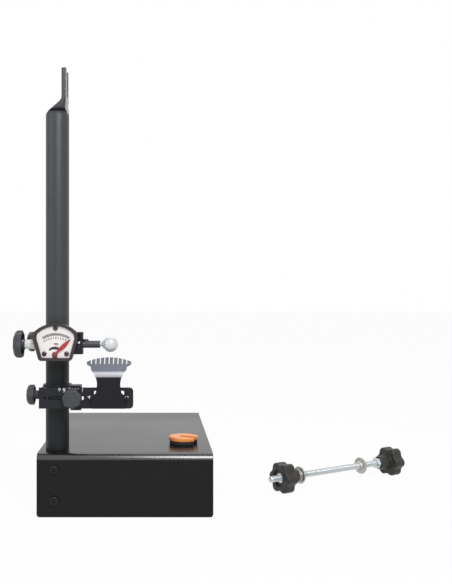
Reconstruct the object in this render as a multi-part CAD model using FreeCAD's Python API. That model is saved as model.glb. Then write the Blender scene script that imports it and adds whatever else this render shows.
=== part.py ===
import FreeCAD, Part
import math
import os

# Bicycle wheel truing stand, in millimetres.
# The origin is on the surface that the stand rests on, in the middle of the front wall's
# lower edge, straight in front of the post. X runs to the right, Y to the back, Z up.

# Base, one bent steel sheet
sheet = 3.0
base_left = 20.0
base_width = 200.0
base_depth = 300.0
base_height = 72.0
base_bend = 8.0
base_corner = 3.5
post_setback = 30.0

# Post, a tube with a crimped and slotted top
post_diameter = 27.2
post_wall = 2.6
post_foot = 4.0
post_top = 514.0
crimp_height = 19.0
plate_height = 34.0
plate_width = 32.0
plate_inset = 2.1
axle_slot = 10.5
axle_seat_depth = 27.0
prong_round = 4.2
slot_flare = 0.8
post_hole_gap = 0.3

# Bolts that hold the post to the front wall
bolt_thread = 6.0
bolt_hole_gap = 0.3
bolt_head = 10.5
bolt_head_height = 3.3
bolt_head_round = 1.6
bolt_socket = 4.0
bolt_socket_depth = 1.9
bolt_low_share = 0.264
bolt_pitch_share = 0.486
bolt_tip = 2.0
spacer_diameter = 16.0
saddle_seat = 2.0
nut_flats = 10.0
nut_height = 5.0

# Fits shared by the moving pieces
running_gap = 0.05
loose_gap = 0.3
overrun = 1.0

# Sleeves that ride on the post
sleeve_wall = 1.4
sleeve_flange_diameter = 33.6
sleeve_flange = 2.0
gauge_sleeve_stand = 4.5

# Gauge head
head_bottom = 184.0
head_height = 25.0
head_left = 20.0
head_right = 31.8
head_front = 26.0
head_bar_depth = 12.5
head_round = 19.2
head_edge = 1.2
head_pocket_right = 2.9
head_pocket_top = 2.5
head_pocket_width = 3.1
head_pocket_height = 6.5
head_pocket_depth = 1.5

# Plunger and the dog that swings the needle
plunger_diameter = 8.2
plunger_drop = 13.9
plunger_forward = 20.4
plunger_reach = 51.4
plunger_travel = 11.65
feeler_rod = 4.0
dog_width = 4.4
dog_plate = 2.6
dog_stem = 6.0
dog_fork = 5.4
dog_slot_gap = 0.35
rod_screw_x = 35.2
rod_screw_diameter = 6.2
rod_screw_stand = 2.0
rod_screw_dome = 1.6

# Ball feeler
ball_diameter = 17.5
ball_x = 63.0
neck_diameter = 5.2
neck_length = 2.4
neck_shoulder = 14.0
neck_shoulder_back = 5.0
collar_diameter = 10.5
collar_length = 14.4
feeler_knob_diameter = 32.0
feeler_knob_height = 10.0
feeler_knob_lobes = 7
feeler_knob_hollow = 6.5
feeler_knob_rim = 3.9
feeler_knob_edge = 2.6
feeler_hub_stand = 2.6
feeler_knob_lobe_share = 0.42
feeler_knob_valley_share = 0.9
feeler_hub_diameter = 11.6

# Dial
dial_x = 1.7
dial_width = 49.6
dial_bottom_width = 36.0
dial_bottom = 177.2
dial_height = 42.3
dial_waist_height = 25.0
dial_shoulder_height = 31.6
dial_shoulder_width = 48.2
dial_depth = 9.0
dial_back = 1.5
dial_frame = 2.5
dial_recess = 2.7
dial_shoulder_round = 7.0
dial_foot_round = 4.0
dial_face_sheet = 0.8
dial_face_gap = 0.1
rivet_head = 5.3
rivet_head_height = 0.9
rivet_dome = 0.7
rivet_shank = 2.5
rivet_boss = 6.6
rivet_top_drop = 5.6
rivet_foot_rise = 7.8
rivet_foot_reach = 12.6

# Needle
needle_angle = 46.0
needle_length = 24.3
needle_width = 4.2
needle_leaf_shares = ((0.0, 0.6), (0.38, 0.72), (0.7, 1.0), (1.0, 0.0))
needle_sheet = 0.5
needle_lift = 0.6
needle_hub = 5.2
needle_tail = 4.1
needle_tail_width = 5.4
needle_pin = 1.6
needle_pin_radius = 8.1
pivot_rise = 7.0
pivot_offset = 0.6
pivot_diameter = 2.4
pivot_head = 4.7
pivot_head_height = 0.7
crescent_slot = 2.5
crescent_angle = 47.5

# Clamp knobs and their studs
stud_diameter = 6.0
stud_end_gap = 0.1
clamp_lobes = 8
gauge_clamp_height = 8.0
gauge_clamp_diameter = 23.0
gauge_clamp_x = 34.9
gauge_clamp_rise = 12.8
clamp_hub = 10.3
clamp_boss = 15.0
clamp_boss_reach = 20.4
lower_clamp_height = 8.9
lower_clamp_diameter = 23.6
lower_clamp_x = 35.5
hub_reach = 21.6
clamp_edge = 2.2
lock_edge = 1.8
clamp_lobe_share = 0.34
clamp_valley_share = 0.8

# Lower carriage
lower_bottom = 121.0
lower_body_height = 24.5
guide_height = 28.0
guide_left = 16.2
guide_block = 11.8
guide_inset = 0.5
guide_right = 30.2
guide_front = 29.5
guide_bar_depth = 16.0
rail_sheet = 3.0
rail_gap = 0.1
rail_left = 17.4
rail_right = 89.4
rail_height = 23.7
rail_rise = 1.9
rail_corner = 4.5
rail_slot_width = 4.9
rail_slot_left = 6.7
rail_slot_right = 33.6
rail_hole = 2.6
rail_hole_x = 11.0
lock_knob_x = 20.8
lock_knob_diameter = 22.4
lock_knob_height = 9.5
lock_lobe_share = 0.36
lock_valley_share = 1.1
lock_hub = 12.0
lock_hub_height = 1.5
lock_stud = 4.5
lock_stud_grip = 9.0

# Comb plate on its hinge
comb_x = 62.0
comb_sheet = 1.5
comb_bottom = 124.0
comb_height = 56.4
comb_half_width = 25.2
comb_tooth_pitch = 5.0
comb_slots = 9
comb_slot_width = 1.2
comb_slot_depth = 7.1
comb_bend_height = 35.4
comb_bend_radius = 7.5
comb_lean = 38.0
comb_tip_share = 0.98
comb_edge_shares = (
    (1.0, 0.919),
    (0.992, 0.86),
    (0.81, 0.821),
    (0.792, 0.769),
    (0.631, 0.674),
    (0.555, 0.599),
    (0.516, 0.5),
    (0.528, 0.436),
    (0.571, 0.31),
    (0.742, 0.252),
    (0.742, 0.0),
)
hinge_pin = 3.0
hinge_rise = 12.4
hinge_offset = 3.5
ear_radius = 3.4
ear_sheet = 1.5
lug_sheet = 1.5
lug_gap = 0.4
lug_radius = 3.4
pin_head = 5.0
pin_head_height = 1.6
pin_tip = 2.4
pin_tip_length = 1.4
clip_diameter = 5.4
clip_sheet = 0.8
window_half_width = 17.1
window_bottom = 5.0
window_top = 20.2
window_corner = 1.5

# Torsion springs round the hinge pin
spring_wire = 0.7
spring_radius = 2.3
spring_pitch = 1.25
spring_turns = 3.5
spring_leg = 6.5

# Slotted washer on the base
washer_x = 148.4
washer_y = 60.0
washer_diameter = 35.0
washer_disc = 4.5
washer_pad = 4.0
washer_slot = 10.0
washer_turn = -28.0
washer_edge = 0.8
washer_dimple = 3.0
washer_dimple_depth = 1.0
washer_dimple_radius = 12.2
washer_dimple_turn = 140.0

# Through axle set, lying beside the base
axle_diameter = 8.0
axle_length = 221.0
axle_x = 259.0
axle_y = 98.0
axle_turn = 30.0
axle_tip = 1.0
star_diameter = 40.0
star_lobes = 6
star_lobe = 13.0
star_valley = 16.0
star_height = 16.0
star_edge = 2.2
star_hub = 20.0
star_hub_end = 17.0
star_hub_height = 13.0
loose_knob_start = 14.0
insert_diameter = 12.0
insert_start = 2.0
fixed_knob_hub_height = 16.0
fixed_knob_cap = 1.5
lock_nut_flats = 13.0
lock_nut_height = 5.0
cone_flange = 22.0
cone_flange_width = 2.6
cone_step = 14.0
cone_step_width = 4.0
cone_nose = 12.4
cone_nose_end = 9.6
cone_nose_width = 3.4
near_cone_at = 48.5
far_cone_back = 65.0

# Places worked out from the sizes above
post_y = post_setback - sheet / 2
base_front = -sheet / 2
base_back = base_front + base_depth
post_radius = post_diameter / 2
plate_right = post_radius - plate_inset
plate_thickness = 2 * post_wall
plate_left = plate_right - plate_thickness
plate_start = post_top - plate_height
crimp_start = plate_start - crimp_height
axle_seat_z = post_top - axle_seat_depth
bolt_low = base_height * bolt_low_share
bolt_heights = (bolt_low, bolt_low + base_height * bolt_pitch_share)
sleeve_bore = post_radius + running_gap
sleeve_radius = sleeve_bore + sleeve_wall
carriage_bore = sleeve_radius + running_gap
head_front_y = post_y - head_front
head_top = head_bottom + head_height
plunger_y = post_y - plunger_forward
plunger_z = head_top - plunger_drop
dial_front_y = head_front_y - dial_depth
face_front_y = dial_front_y + dial_recess
face_back_y = face_front_y + dial_face_sheet
dial_floor_y = head_front_y - dial_back
needle_back_y = face_front_y - needle_lift
needle_front_y = needle_back_y - needle_sheet
pivot_x = dial_x - pivot_offset
pivot_z = dial_bottom + pivot_rise
dog_x = pivot_x + needle_pin_radius * math.sin(math.radians(needle_angle))
dog_foot_z = pivot_z + needle_pin_radius * math.cos(math.radians(needle_angle)) - needle_pin
gauge_clamp_z = head_bottom + gauge_clamp_rise
guide_front_y = post_y - guide_front
rail_front_y = guide_front_y - rail_gap
rail_back_y = rail_front_y + rail_sheet
rail_bottom = lower_bottom + rail_rise
rail_middle_z = rail_bottom + rail_height / 2
hinge_y = rail_front_y - hinge_offset
hinge_z = comb_bottom + hinge_rise
comb_back_y = hinge_y - hinge_offset
comb_front_y = comb_back_y - comb_sheet
ear_outer = comb_half_width * comb_edge_shares[-1][0]
ear_inner = ear_outer - ear_sheet
lug_inner = ear_outer + lug_gap
lug_outer = lug_inner + lug_sheet


def vector(x, y, z):
    return FreeCAD.Vector(x, y, z)


def box(low, high):
    """A block from its lowest to its highest corner."""
    low = vector(*low)
    size = vector(*high) - low
    return Part.makeBox(size.x, size.y, size.z, low)


def bar(radius, start, end):
    """A round bar from one point to another."""
    start = vector(*start)
    run = vector(*end) - start
    return Part.makeCylinder(radius, run.Length, start, run)


def taper(start_radius, end_radius, start, end):
    """A round bar whose radius changes along it."""
    start = vector(*start)
    run = vector(*end) - start
    return Part.makeCone(start_radius, end_radius, run.Length, start, run)


def hexagon(flats, start, end):
    """A six-sided bar along X or Y."""
    start = vector(*start)
    run = vector(*end) - start
    radius = flats / math.sqrt(3)
    ring = []
    for corner in range(7):
        turn = math.radians(60 * corner)
        across = vector(radius * math.cos(turn), 0, radius * math.sin(turn))
        if abs(run.x) > abs(run.y):
            across = vector(0, radius * math.cos(turn), radius * math.sin(turn))
        ring.append(start + across)
    return Part.Face(Part.makePolygon(ring)).extrude(run)


def joined(pieces):
    """Pieces fused into one, without the seams between flush faces."""
    return pieces[0].fuse(pieces[1:]).removeSplitter()


def arc(start, middle, end):
    return Part.Arc(start, middle, end).toShape()


def edges_along(shape, direction):
    """The straight edges that run along one axis."""
    found = []
    for edge in shape.Edges:
        if edge.Curve.TypeId == "Part::GeomLine":
            if abs(edge.Curve.Direction.dot(direction)) > 0.999:
                found.append(edge)
    return found


def lobed_face(radius, lobes, lobe_radius, valley_radius):
    """A knob's outline in the XY plane: round lobes joined by hollow valleys, all tangent."""
    half_step = math.pi / lobes
    ring = radius - lobe_radius
    reach = lobe_radius + valley_radius
    valley_ring = ring * math.cos(half_step)
    valley_ring += math.sqrt(reach ** 2 - (ring * math.sin(half_step)) ** 2)

    def at(distance, angle):
        return vector(distance * math.cos(angle), distance * math.sin(angle), 0)

    def touch(lobe_angle, valley_angle):
        lobe = at(ring, lobe_angle)
        return lobe + (at(valley_ring, valley_angle) - lobe) * (lobe_radius / reach)

    edges = []
    for lobe in range(lobes):
        angle = 2 * half_step * lobe
        before = touch(angle, angle - half_step)
        after = touch(angle, angle + half_step)
        following = touch(angle + 2 * half_step, angle + half_step)
        edges.append(arc(before, at(radius, angle), after))
        edges.append(arc(after, at(valley_ring - valley_radius, angle + half_step), following))
    return Part.Face(Part.Wire(edges))


def lobed_knob(face, height, edge):
    """A moulded knob along +Z from zero, with both ends' edges eased."""
    knob = face.extrude(vector(0, 0, height))
    ends = []
    for line in knob.Edges:
        flat = abs(line.BoundBox.ZLength) < edge / 2
        if flat:
            ends.append(line)
    return knob.makeChamfer(edge, ends)


def laid_along_x(shape, origin):
    """A piece made along +Z, laid along +X with its start at the origin given."""
    shape.rotate(vector(0, 0, 0), vector(0, 1, 0), 90)
    shape.translate(vector(*origin))
    return shape


def base_shell():
    """Bent sheet: front wall, top and back wall, open at both sides and below."""
    edges = []
    walls = ((0, base_bend), (sheet, base_bend - sheet))
    rings = []
    for inset, bend in walls:
        front = base_front + inset
        back = base_back - inset
        top = base_height - inset
        lean = bend * (1 - math.sqrt(0.5))
        rings.append((
            vector(-base_left, front, 0),
            vector(-base_left, front, top - bend),
            vector(-base_left, front + lean, top - lean),
            vector(-base_left, front + bend, top),
            vector(-base_left, back - bend, top),
            vector(-base_left, back - lean, top - lean),
            vector(-base_left, back, top - bend),
            vector(-base_left, back, 0),
        ))
    for ring in rings:
        edges.append(Part.makeLine(ring[0], ring[1]))
        edges.append(arc(ring[1], ring[2], ring[3]))
        edges.append(Part.makeLine(ring[3], ring[4]))
        edges.append(arc(ring[4], ring[5], ring[6]))
        edges.append(Part.makeLine(ring[6], ring[7]))
    edges.append(Part.makeLine(rings[0][0], rings[1][0]))
    edges.append(Part.makeLine(rings[0][7], rings[1][7]))
    wire = Part.Wire(Part.__sortEdges__(edges))
    shell = Part.Face(wire).extrude(vector(base_width, 0, 0))
    corners = []
    for edge in edges_along(shell, vector(0, 1, 0)):
        if edge.BoundBox.ZMax < base_corner and edge.Length < base_bend:
            corners.append(edge)
    shell = shell.makeFillet(base_corner, corners)
    hole = post_radius + post_hole_gap
    under = base_height - sheet - overrun
    shell = shell.cut(bar(hole, (0, post_y, under), (0, post_y, base_height + overrun)))
    for height in bolt_heights:
        radius = bolt_thread / 2 + bolt_hole_gap
        start = (0, base_front - overrun, height)
        shell = shell.cut(bar(radius, start, (0, base_front + sheet + overrun, height)))
    return shell


def crimp_section(height, share):
    """The post's outline at one height: share 0 is the round tube, 1 the flat plate."""
    eased = share * share * (3 - 2 * share)

    spread = 1 - (1 - share) ** 4

    def between(tube, plate):
        return tube + (plate - tube) * eased

    def flared(tube, plate):
        return tube + (plate - tube) * spread

    diagonal = post_radius * math.sqrt(0.5)
    end_round = plate_thickness / 2
    left = between(-diagonal, plate_left)
    right = between(diagonal, plate_right)
    reach = flared(diagonal, plate_width / 2 - end_round)
    half_width = flared(post_radius, plate_width / 2)
    middle = between(0, (plate_left + plate_right) / 2)
    front_left = vector(left, post_y - reach, height)
    front_right = vector(right, post_y - reach, height)
    back_left = vector(left, post_y + reach, height)
    back_right = vector(right, post_y + reach, height)
    edges = [arc(front_left, vector(middle, post_y - half_width, height), front_right)]
    if share < 1:
        side = vector(between(post_radius, plate_right), post_y, height)
        edges.append(arc(front_right, side, back_right))
    else:
        edges.append(Part.makeLine(front_right, back_right))
    edges.append(arc(back_right, vector(middle, post_y + half_width, height), back_left))
    if share < 1:
        side = vector(between(-post_radius, plate_left), post_y, height)
        edges.append(arc(back_left, side, front_left))
    else:
        edges.append(Part.makeLine(back_left, front_left))
    return Part.Wire(edges)


def post():
    """Tube, pressed flat at the top and slotted to take the wheel's axle."""
    tube = bar(post_radius, (0, post_y, post_foot), (0, post_y, crimp_start))
    bore = bar(post_radius - post_wall, (0, post_y, post_foot - overrun), (0, post_y, crimp_start))
    tube = tube.cut(bore)
    sections = []
    steps = 10
    for step in range(steps + 1):
        share = step / steps
        sections.append(crimp_section(crimp_start + crimp_height * share, share))
    crimp = Part.makeLoft(sections, True, True)
    plate = Part.Face(crimp_section(plate_start, 1)).extrude(vector(0, 0, plate_height))
    body = tube.fuse([crimp, plate])
    body = body.cut(slot_cutter())
    body = body.cut(prong_trim())
    for height in bolt_heights:
        radius = bolt_thread / 2 + bolt_hole_gap
        start = (0, post_y - post_diameter, height)
        body = body.cut(bar(radius, start, (0, post_y + post_diameter, height)))
    return body


def slot_cutter():
    """The upright axle slot: a round seat, open at the top with flared lips."""
    radius = axle_slot / 2
    start_x = plate_left - overrun
    end_x = plate_right + overrun
    seat = bar(radius, (start_x, post_y, axle_seat_z), (end_x, post_y, axle_seat_z))
    throat = box((start_x, post_y - radius, axle_seat_z), (end_x, post_y + radius, post_top + overrun))
    return seat.fuse(throat)


def prong_trim():
    """What comes off the outer corners and lips to leave two rounded prongs."""
    start_x = plate_left - overrun
    half = plate_width / 2
    lip = axle_slot / 2
    across = vector(plate_thickness + 2 * overrun, 0, 0)
    trim = []
    for side in (-1, 1):
        for edge, inward, size in ((half, -1, prong_round), (lip, 1, prong_round * slot_flare)):
            corner = vector(start_x, post_y + side * edge, post_top)
            level = corner + vector(0, side * inward * size, 0)
            low = corner - vector(0, 0, size)
            lean = size * (1 - math.sqrt(0.5))
            middle = corner + vector(0, side * inward * lean, -lean)
            out = vector(0, -side * inward * overrun, 0)
            rise = vector(0, 0, overrun)
            edges = [
                Part.makeLine(level + rise, level),
                arc(level, middle, low),
                Part.makeLine(low, low + out),
                Part.makeLine(low + out, corner + out + rise),
                Part.makeLine(corner + out + rise, level + rise),
            ]
            trim.append(Part.Face(Part.Wire(edges)).extrude(across))
    return trim[0].fuse(trim[1:])


def post_bolts():
    """Two button heads on the front, with hexagon sockets, and their shanks."""
    bolts = []
    end_y = post_y + post_radius + saddle_seat + nut_height + bolt_tip
    for height in bolt_heights:
        head_y = base_front - bolt_head_height
        head = bar(bolt_head / 2, (0, base_front, height), (0, head_y, height))
        rim = [edge for edge in head.Edges if abs(edge.CenterOfMass.y - head_y) < bolt_head_round / 2]
        head = head.makeFillet(bolt_head_round, rim)
        shank = bar(bolt_thread / 2, (0, base_front, height), (0, end_y, height))
        depth = head_y + bolt_socket_depth
        socket = hexagon(bolt_socket, (0, head_y - overrun, height), (0, depth, height))
        bolts.append(head.fuse(shank).cut(socket))
    return bolts


def post_spacers():
    """Sleeves between the front wall and the post, and the saddles behind it."""
    pieces = []
    tube = bar(post_radius, (0, post_y, 0), (0, post_y, base_height))
    back = post_y + post_radius + saddle_seat
    for height in bolt_heights:
        inner = base_front + sheet
        hole = bolt_thread / 2 + bolt_hole_gap
        shaft = bar(hole, (0, inner - overrun, height), (0, back + overrun, height))
        for start, end in ((inner, post_y), (post_y, back)):
            sleeve = bar(spacer_diameter / 2, (0, start, height), (0, end, height))
            pieces.append(sleeve.cut(tube).cut(shaft))
    return pieces


def post_nuts():
    nuts = []
    start = post_y + post_radius + saddle_seat
    for height in bolt_heights:
        nut = hexagon(nut_flats, (0, start, height), (0, start + nut_height, height))
        shaft_end = (0, start + nut_height + overrun, height)
        nuts.append(nut.cut(bar(bolt_thread / 2, (0, start - overrun, height), shaft_end)))
    return nuts


def sleeve(bottom, top, flange_start):
    """A bush that slides on the post, with a flange that carries or caps its carriage."""
    bush = bar(sleeve_radius, (0, post_y, bottom), (0, post_y, top))
    flange_end = flange_start + sleeve_flange
    flange = bar(sleeve_flange_diameter / 2, (0, post_y, flange_start), (0, post_y, flange_end))
    bore = bar(sleeve_bore, (0, post_y, bottom - overrun), (0, post_y, top + overrun))
    return joined([bush, flange]).cut(bore)


def gauge_sleeve():
    start = head_bottom - running_gap - sleeve_flange
    return sleeve(start, head_top + gauge_sleeve_stand, start)


def lower_sleeve():
    start = lower_bottom + lower_body_height + running_gap
    return sleeve(lower_bottom, start + sleeve_flange, start)


def gauge_head():
    """Block round the sleeve, with a bar that guides the plunger and a keyway for its screw."""
    bar_back = head_front_y + head_bar_depth
    ring = bar(head_round, (0, post_y, head_bottom), (0, post_y, head_top))
    cheeks = box((-head_round, head_front_y, head_bottom), (head_round, post_y, head_top))
    front = box((-head_left, head_front_y, head_bottom), (head_right, bar_back, head_top))
    boss = bar(clamp_boss / 2, (-clamp_boss_reach, post_y, gauge_clamp_z), (0, post_y, gauge_clamp_z))
    head = joined([ring, cheeks, front, boss])
    corners = []
    for edge in edges_along(head, vector(0, 0, 1)):
        if edge.CenterOfMass.x > head_round:
            corners.append(edge)
    head = head.makeChamfer(head_edge, corners)
    head = head.cut(bar(carriage_bore, (0, post_y, head_bottom - overrun), (0, post_y, head_top + overrun)))
    guide = plunger_diameter / 2 + running_gap
    start = (-head_left - overrun, plunger_y, plunger_z)
    head = head.cut(bar(guide, start, (head_right + overrun, plunger_y, plunger_z)))
    window_start = dog_x - dog_width / 2 - plunger_travel - loose_gap
    window_end = dog_x + dog_width / 2 + loose_gap
    low = (window_start, head_front_y - overrun, plunger_z - dog_stem / 2 - loose_gap)
    high = (window_end, plunger_y, plunger_z + dog_stem / 2 + loose_gap)
    head = head.cut(box(low, high))
    key_half = rod_screw_diameter / 2 + loose_gap
    key_start = rod_screw_x - key_half - plunger_travel
    key_top = plunger_z + plunger_diameter / 2 + rod_screw_stand + loose_gap
    low = (key_start, plunger_y - key_half, plunger_z)
    head = head.cut(box(low, (head_right + overrun, plunger_y + key_half, key_top)))
    hole = stud_diameter / 2 + running_gap
    start = (-clamp_boss_reach - overrun, post_y, gauge_clamp_z)
    head = head.cut(bar(hole, start, (0, post_y, gauge_clamp_z)))
    right = head_right - head_pocket_right
    top = head_top - head_pocket_top
    low = (right - head_pocket_width, head_front_y - overrun, top - head_pocket_height)
    return head.cut(box(low, (right, head_front_y + head_pocket_depth, top)))


def dial_outline(inset):
    """The shield shape of the dial, as a face in the plane of its front."""
    waist = dial_width / 2
    shoulder = dial_shoulder_width / 2
    foot = dial_bottom_width / 2
    top = dial_bottom + dial_height

    def at(x, z):
        return vector(dial_x + x, 0, z)

    foot_left = at(-foot, dial_bottom)
    foot_right = at(foot, dial_bottom)
    waist_left = at(-waist, dial_bottom + dial_waist_height)
    waist_right = at(waist, dial_bottom + dial_waist_height)
    shoulder_left = at(-shoulder, dial_bottom + dial_shoulder_height)
    shoulder_right = at(shoulder, dial_bottom + dial_shoulder_height)
    edges = [
        Part.makeLine(foot_right, foot_left),
        Part.makeLine(foot_left, waist_left),
        Part.makeLine(waist_left, shoulder_left),
        arc(shoulder_left, at(0, top), shoulder_right),
        Part.makeLine(shoulder_right, waist_right),
        Part.makeLine(waist_right, foot_right),
    ]
    slab = Part.Face(Part.Wire(edges)).extrude(vector(0, overrun, 0))
    feet = []
    for edge in edges_along(slab, vector(0, 1, 0)):
        if edge.CenterOfMass.z < dial_bottom + dial_foot_round:
            feet.append(edge)
    slab = slab.makeFillet(dial_foot_round, feet)
    shoulders = []
    for edge in edges_along(slab, vector(0, 1, 0)):
        if abs(edge.CenterOfMass.z - dial_bottom - dial_shoulder_height) < overrun:
            shoulders.append(edge)
    slab = slab.makeFillet(dial_shoulder_round, shoulders)
    face = [side for side in slab.Faces if side.BoundBox.YLength < overrun / 2][0]
    if face.CenterOfMass.y > overrun / 2:
        face.translate(vector(0, -overrun, 0))
    if inset:
        face = face.makeOffset2D(-inset)
    return face


def dial_slab(inset, start_y, end_y):
    face = dial_outline(inset)
    face.translate(vector(0, start_y, 0))
    return face.extrude(vector(0, end_y - start_y, 0))


def rivet_places():
    top = dial_bottom + dial_height - rivet_top_drop
    foot = dial_bottom + rivet_foot_rise
    return ((dial_x, top), (dial_x - rivet_foot_reach, foot), (dial_x + rivet_foot_reach, foot))


def dial_housing():
    """Tray with a raised frame; bosses on its floor carry the face and its rivets."""
    tray = dial_slab(0, dial_front_y, head_front_y)
    hollow = dial_slab(dial_frame, dial_front_y - overrun, dial_floor_y)
    tray = tray.cut(hollow)
    bosses = []
    for x, z in rivet_places():
        bosses.append(bar(rivet_boss / 2, (x, face_back_y, z), (x, head_front_y, z)))
    tray = joined([tray] + bosses)
    for x, z in rivet_places():
        hole = bar(rivet_shank / 2, (x, dial_front_y, z), (x, dial_floor_y, z))
        tray = tray.cut(hole)
    start = dog_x - dog_width / 2 - plunger_travel - loose_gap
    low = (start, dial_floor_y - overrun, plunger_z - dog_stem / 2 - loose_gap)
    high = (dog_x + dog_width / 2 + loose_gap, head_front_y + overrun, plunger_z + dog_stem / 2 + loose_gap)
    return tray.cut(box(low, high))


def dial_face():
    """White plate in the tray, with a crescent slot that the needle's pin moves in."""
    plate = dial_slab(dial_frame + dial_face_gap, face_front_y, face_back_y)
    holes = []
    for x, z in rivet_places():
        holes.append(bar(rivet_shank / 2, (x, face_front_y - overrun, z), (x, face_back_y + overrun, z)))
    start = (pivot_x, face_front_y - overrun, pivot_z)
    end = (pivot_x, face_back_y + overrun, pivot_z)
    holes.append(bar(pivot_diameter / 2, start, end))
    half = crescent_slot / 2
    ring = bar(needle_pin_radius + half, start, end).cut(bar(needle_pin_radius - half, start, end))
    spread = math.radians(crescent_angle)
    reach = needle_pin_radius + crescent_slot
    tip = vector(pivot_x, face_front_y - overrun, pivot_z)
    left = tip + vector(-reach * math.tan(spread), 0, reach)
    right = tip + vector(reach * math.tan(spread), 0, reach)
    wedge = Part.Face(Part.makePolygon([tip, left, right, tip]))
    wedge = wedge.extrude(vector(0, dial_face_sheet + 2 * overrun, 0))
    holes.append(ring.common(wedge))
    for side in (-1, 1):
        x = pivot_x + side * needle_pin_radius * math.sin(spread)
        z = pivot_z + needle_pin_radius * math.cos(spread)
        holes.append(bar(half, (x, start[1], z), (x, end[1], z)))
    return plate.cut(holes[0].fuse(holes[1:]))


def dial_rivets():
    rivets = []
    for x, z in rivet_places():
        head_y = face_front_y - rivet_head_height
        head = bar(rivet_head / 2, (x, face_front_y, z), (x, head_y, z))
        rim = [edge for edge in head.Edges if abs(edge.CenterOfMass.y - head_y) < rivet_head_height / 2]
        head = head.makeFillet(rivet_dome, rim)
        shank = bar(rivet_shank / 2, (x, face_front_y, z), (x, dial_floor_y, z))
        rivets.append(head.fuse(shank))
    return rivets


def needle_pivot():
    """Stud from the tray's floor through face and needle, with a low head."""
    head_start = needle_front_y - running_gap
    shaft = bar(pivot_diameter / 2, (pivot_x, dial_floor_y, pivot_z), (pivot_x, head_start, pivot_z))
    end = (pivot_x, head_start - pivot_head_height, pivot_z)
    head = bar(pivot_head / 2, (pivot_x, head_start, pivot_z), end)
    return shaft.fuse(head)


def needle():
    """Leaf-shaped pointer with a round hub, a short tail and the pin that is driven."""
    half = needle_width / 2
    hub = needle_hub / 2
    origin = vector(pivot_x, needle_front_y, pivot_z)
    right_side = [origin + vector(half * w, 0, needle_length * u) for u, w in needle_leaf_shares]
    left_side = [origin + vector(-half * w, 0, needle_length * u) for u, w in needle_leaf_shares[-2::-1]]
    outline = Part.makePolygon(right_side + left_side + [right_side[0]])
    thick = vector(0, needle_sheet, 0)
    leaf = Part.Face(outline).extrude(thick)
    leaf.rotate(origin, vector(0, 1, 0), needle_angle)
    disc = bar(hub, (pivot_x, needle_front_y, pivot_z), (pivot_x, needle_back_y, pivot_z))
    tail_half = needle_tail_width / 2
    low = (pivot_x - tail_half, needle_front_y, pivot_z - needle_tail)
    tail = box(low, (pivot_x + tail_half, needle_back_y, pivot_z))
    tail = tail.common(bar(needle_tail, (pivot_x, needle_front_y, pivot_z), (pivot_x, needle_back_y, pivot_z)))
    pin_z = pivot_z + needle_pin_radius * math.cos(math.radians(needle_angle))
    pin_end = dial_floor_y - loose_gap
    pin = bar(needle_pin / 2, (dog_x, needle_front_y, pin_z), (dog_x, pin_end, pin_z))
    body = joined([leaf, disc, tail, pin])
    hole = pivot_diameter / 2 + running_gap
    start = (pivot_x, needle_front_y - overrun, pivot_z)
    return body.cut(bar(hole, start, (pivot_x, needle_back_y + overrun, pivot_z)))


def plunger():
    """Black tube that slides in the head; the feeler's rod runs through it."""
    start = (-head_left, plunger_y, plunger_z)
    end = (plunger_reach, plunger_y, plunger_z)
    tube = bar(plunger_diameter / 2, start, end)
    bore_start = (-head_left - overrun, plunger_y, plunger_z)
    bore_end = (plunger_reach + overrun, plunger_y, plunger_z)
    tube = tube.cut(bar(feeler_rod / 2 + running_gap, bore_start, bore_end))
    flat = plunger_y - plunger_diameter / 2 + loose_gap
    seat = box(
        (dog_x - dog_width / 2, flat - overrun, plunger_z - dog_stem / 2),
        (dog_x + dog_width / 2, flat, plunger_z + dog_stem / 2),
    )
    return tube.cut(seat)


def drive_dog():
    """Stem on the plunger with a fork at its foot, open downwards round the needle's pin."""
    fork_front = face_back_y + loose_gap
    fork_back = fork_front + dog_plate
    half = dog_width / 2
    seat_y = plunger_y - plunger_diameter / 2 + loose_gap
    stem = box(
        (dog_x - half, fork_front, plunger_z - dog_stem / 2),
        (dog_x + half, seat_y, plunger_z + dog_stem / 2),
    )
    blade = box(
        (dog_x - half, fork_front, dog_foot_z),
        (dog_x + half, min(fork_back, dial_floor_y - loose_gap), plunger_z),
    )
    slot_half = needle_pin / 2 + dog_slot_gap
    slot = box(
        (dog_x - slot_half, fork_front - overrun, dog_foot_z - overrun),
        (dog_x + slot_half, fork_back + overrun, dog_foot_z + dog_fork),
    )
    return joined([stem, blade]).cut(slot)


def rod_screw():
    """Small round screw on the plunger that pinches the rod."""
    bottom = plunger_z + plunger_diameter / 2
    top = bottom + rod_screw_stand
    start = (rod_screw_x, plunger_y, plunger_z)
    head = bar(rod_screw_diameter / 2, start, (rod_screw_x, plunger_y, top))
    rim = [edge for edge in head.Edges if abs(edge.CenterOfMass.z - top) < rod_screw_stand / 2]
    head = head.makeFillet(rod_screw_dome, rim)
    tube_start = (-head_left, plunger_y, plunger_z)
    tube = bar(plunger_diameter / 2, tube_start, (plunger_reach, plunger_y, plunger_z))
    return head.cut(tube)


def feeler_rod_piece():
    inside = feeler_hub_stand + feeler_knob_hollow
    start = (-head_left - collar_length - inside, plunger_y, plunger_z)
    end = (ball_x - ball_diameter / 2, plunger_y, plunger_z)
    return bar(feeler_rod / 2, start, end)


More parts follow.
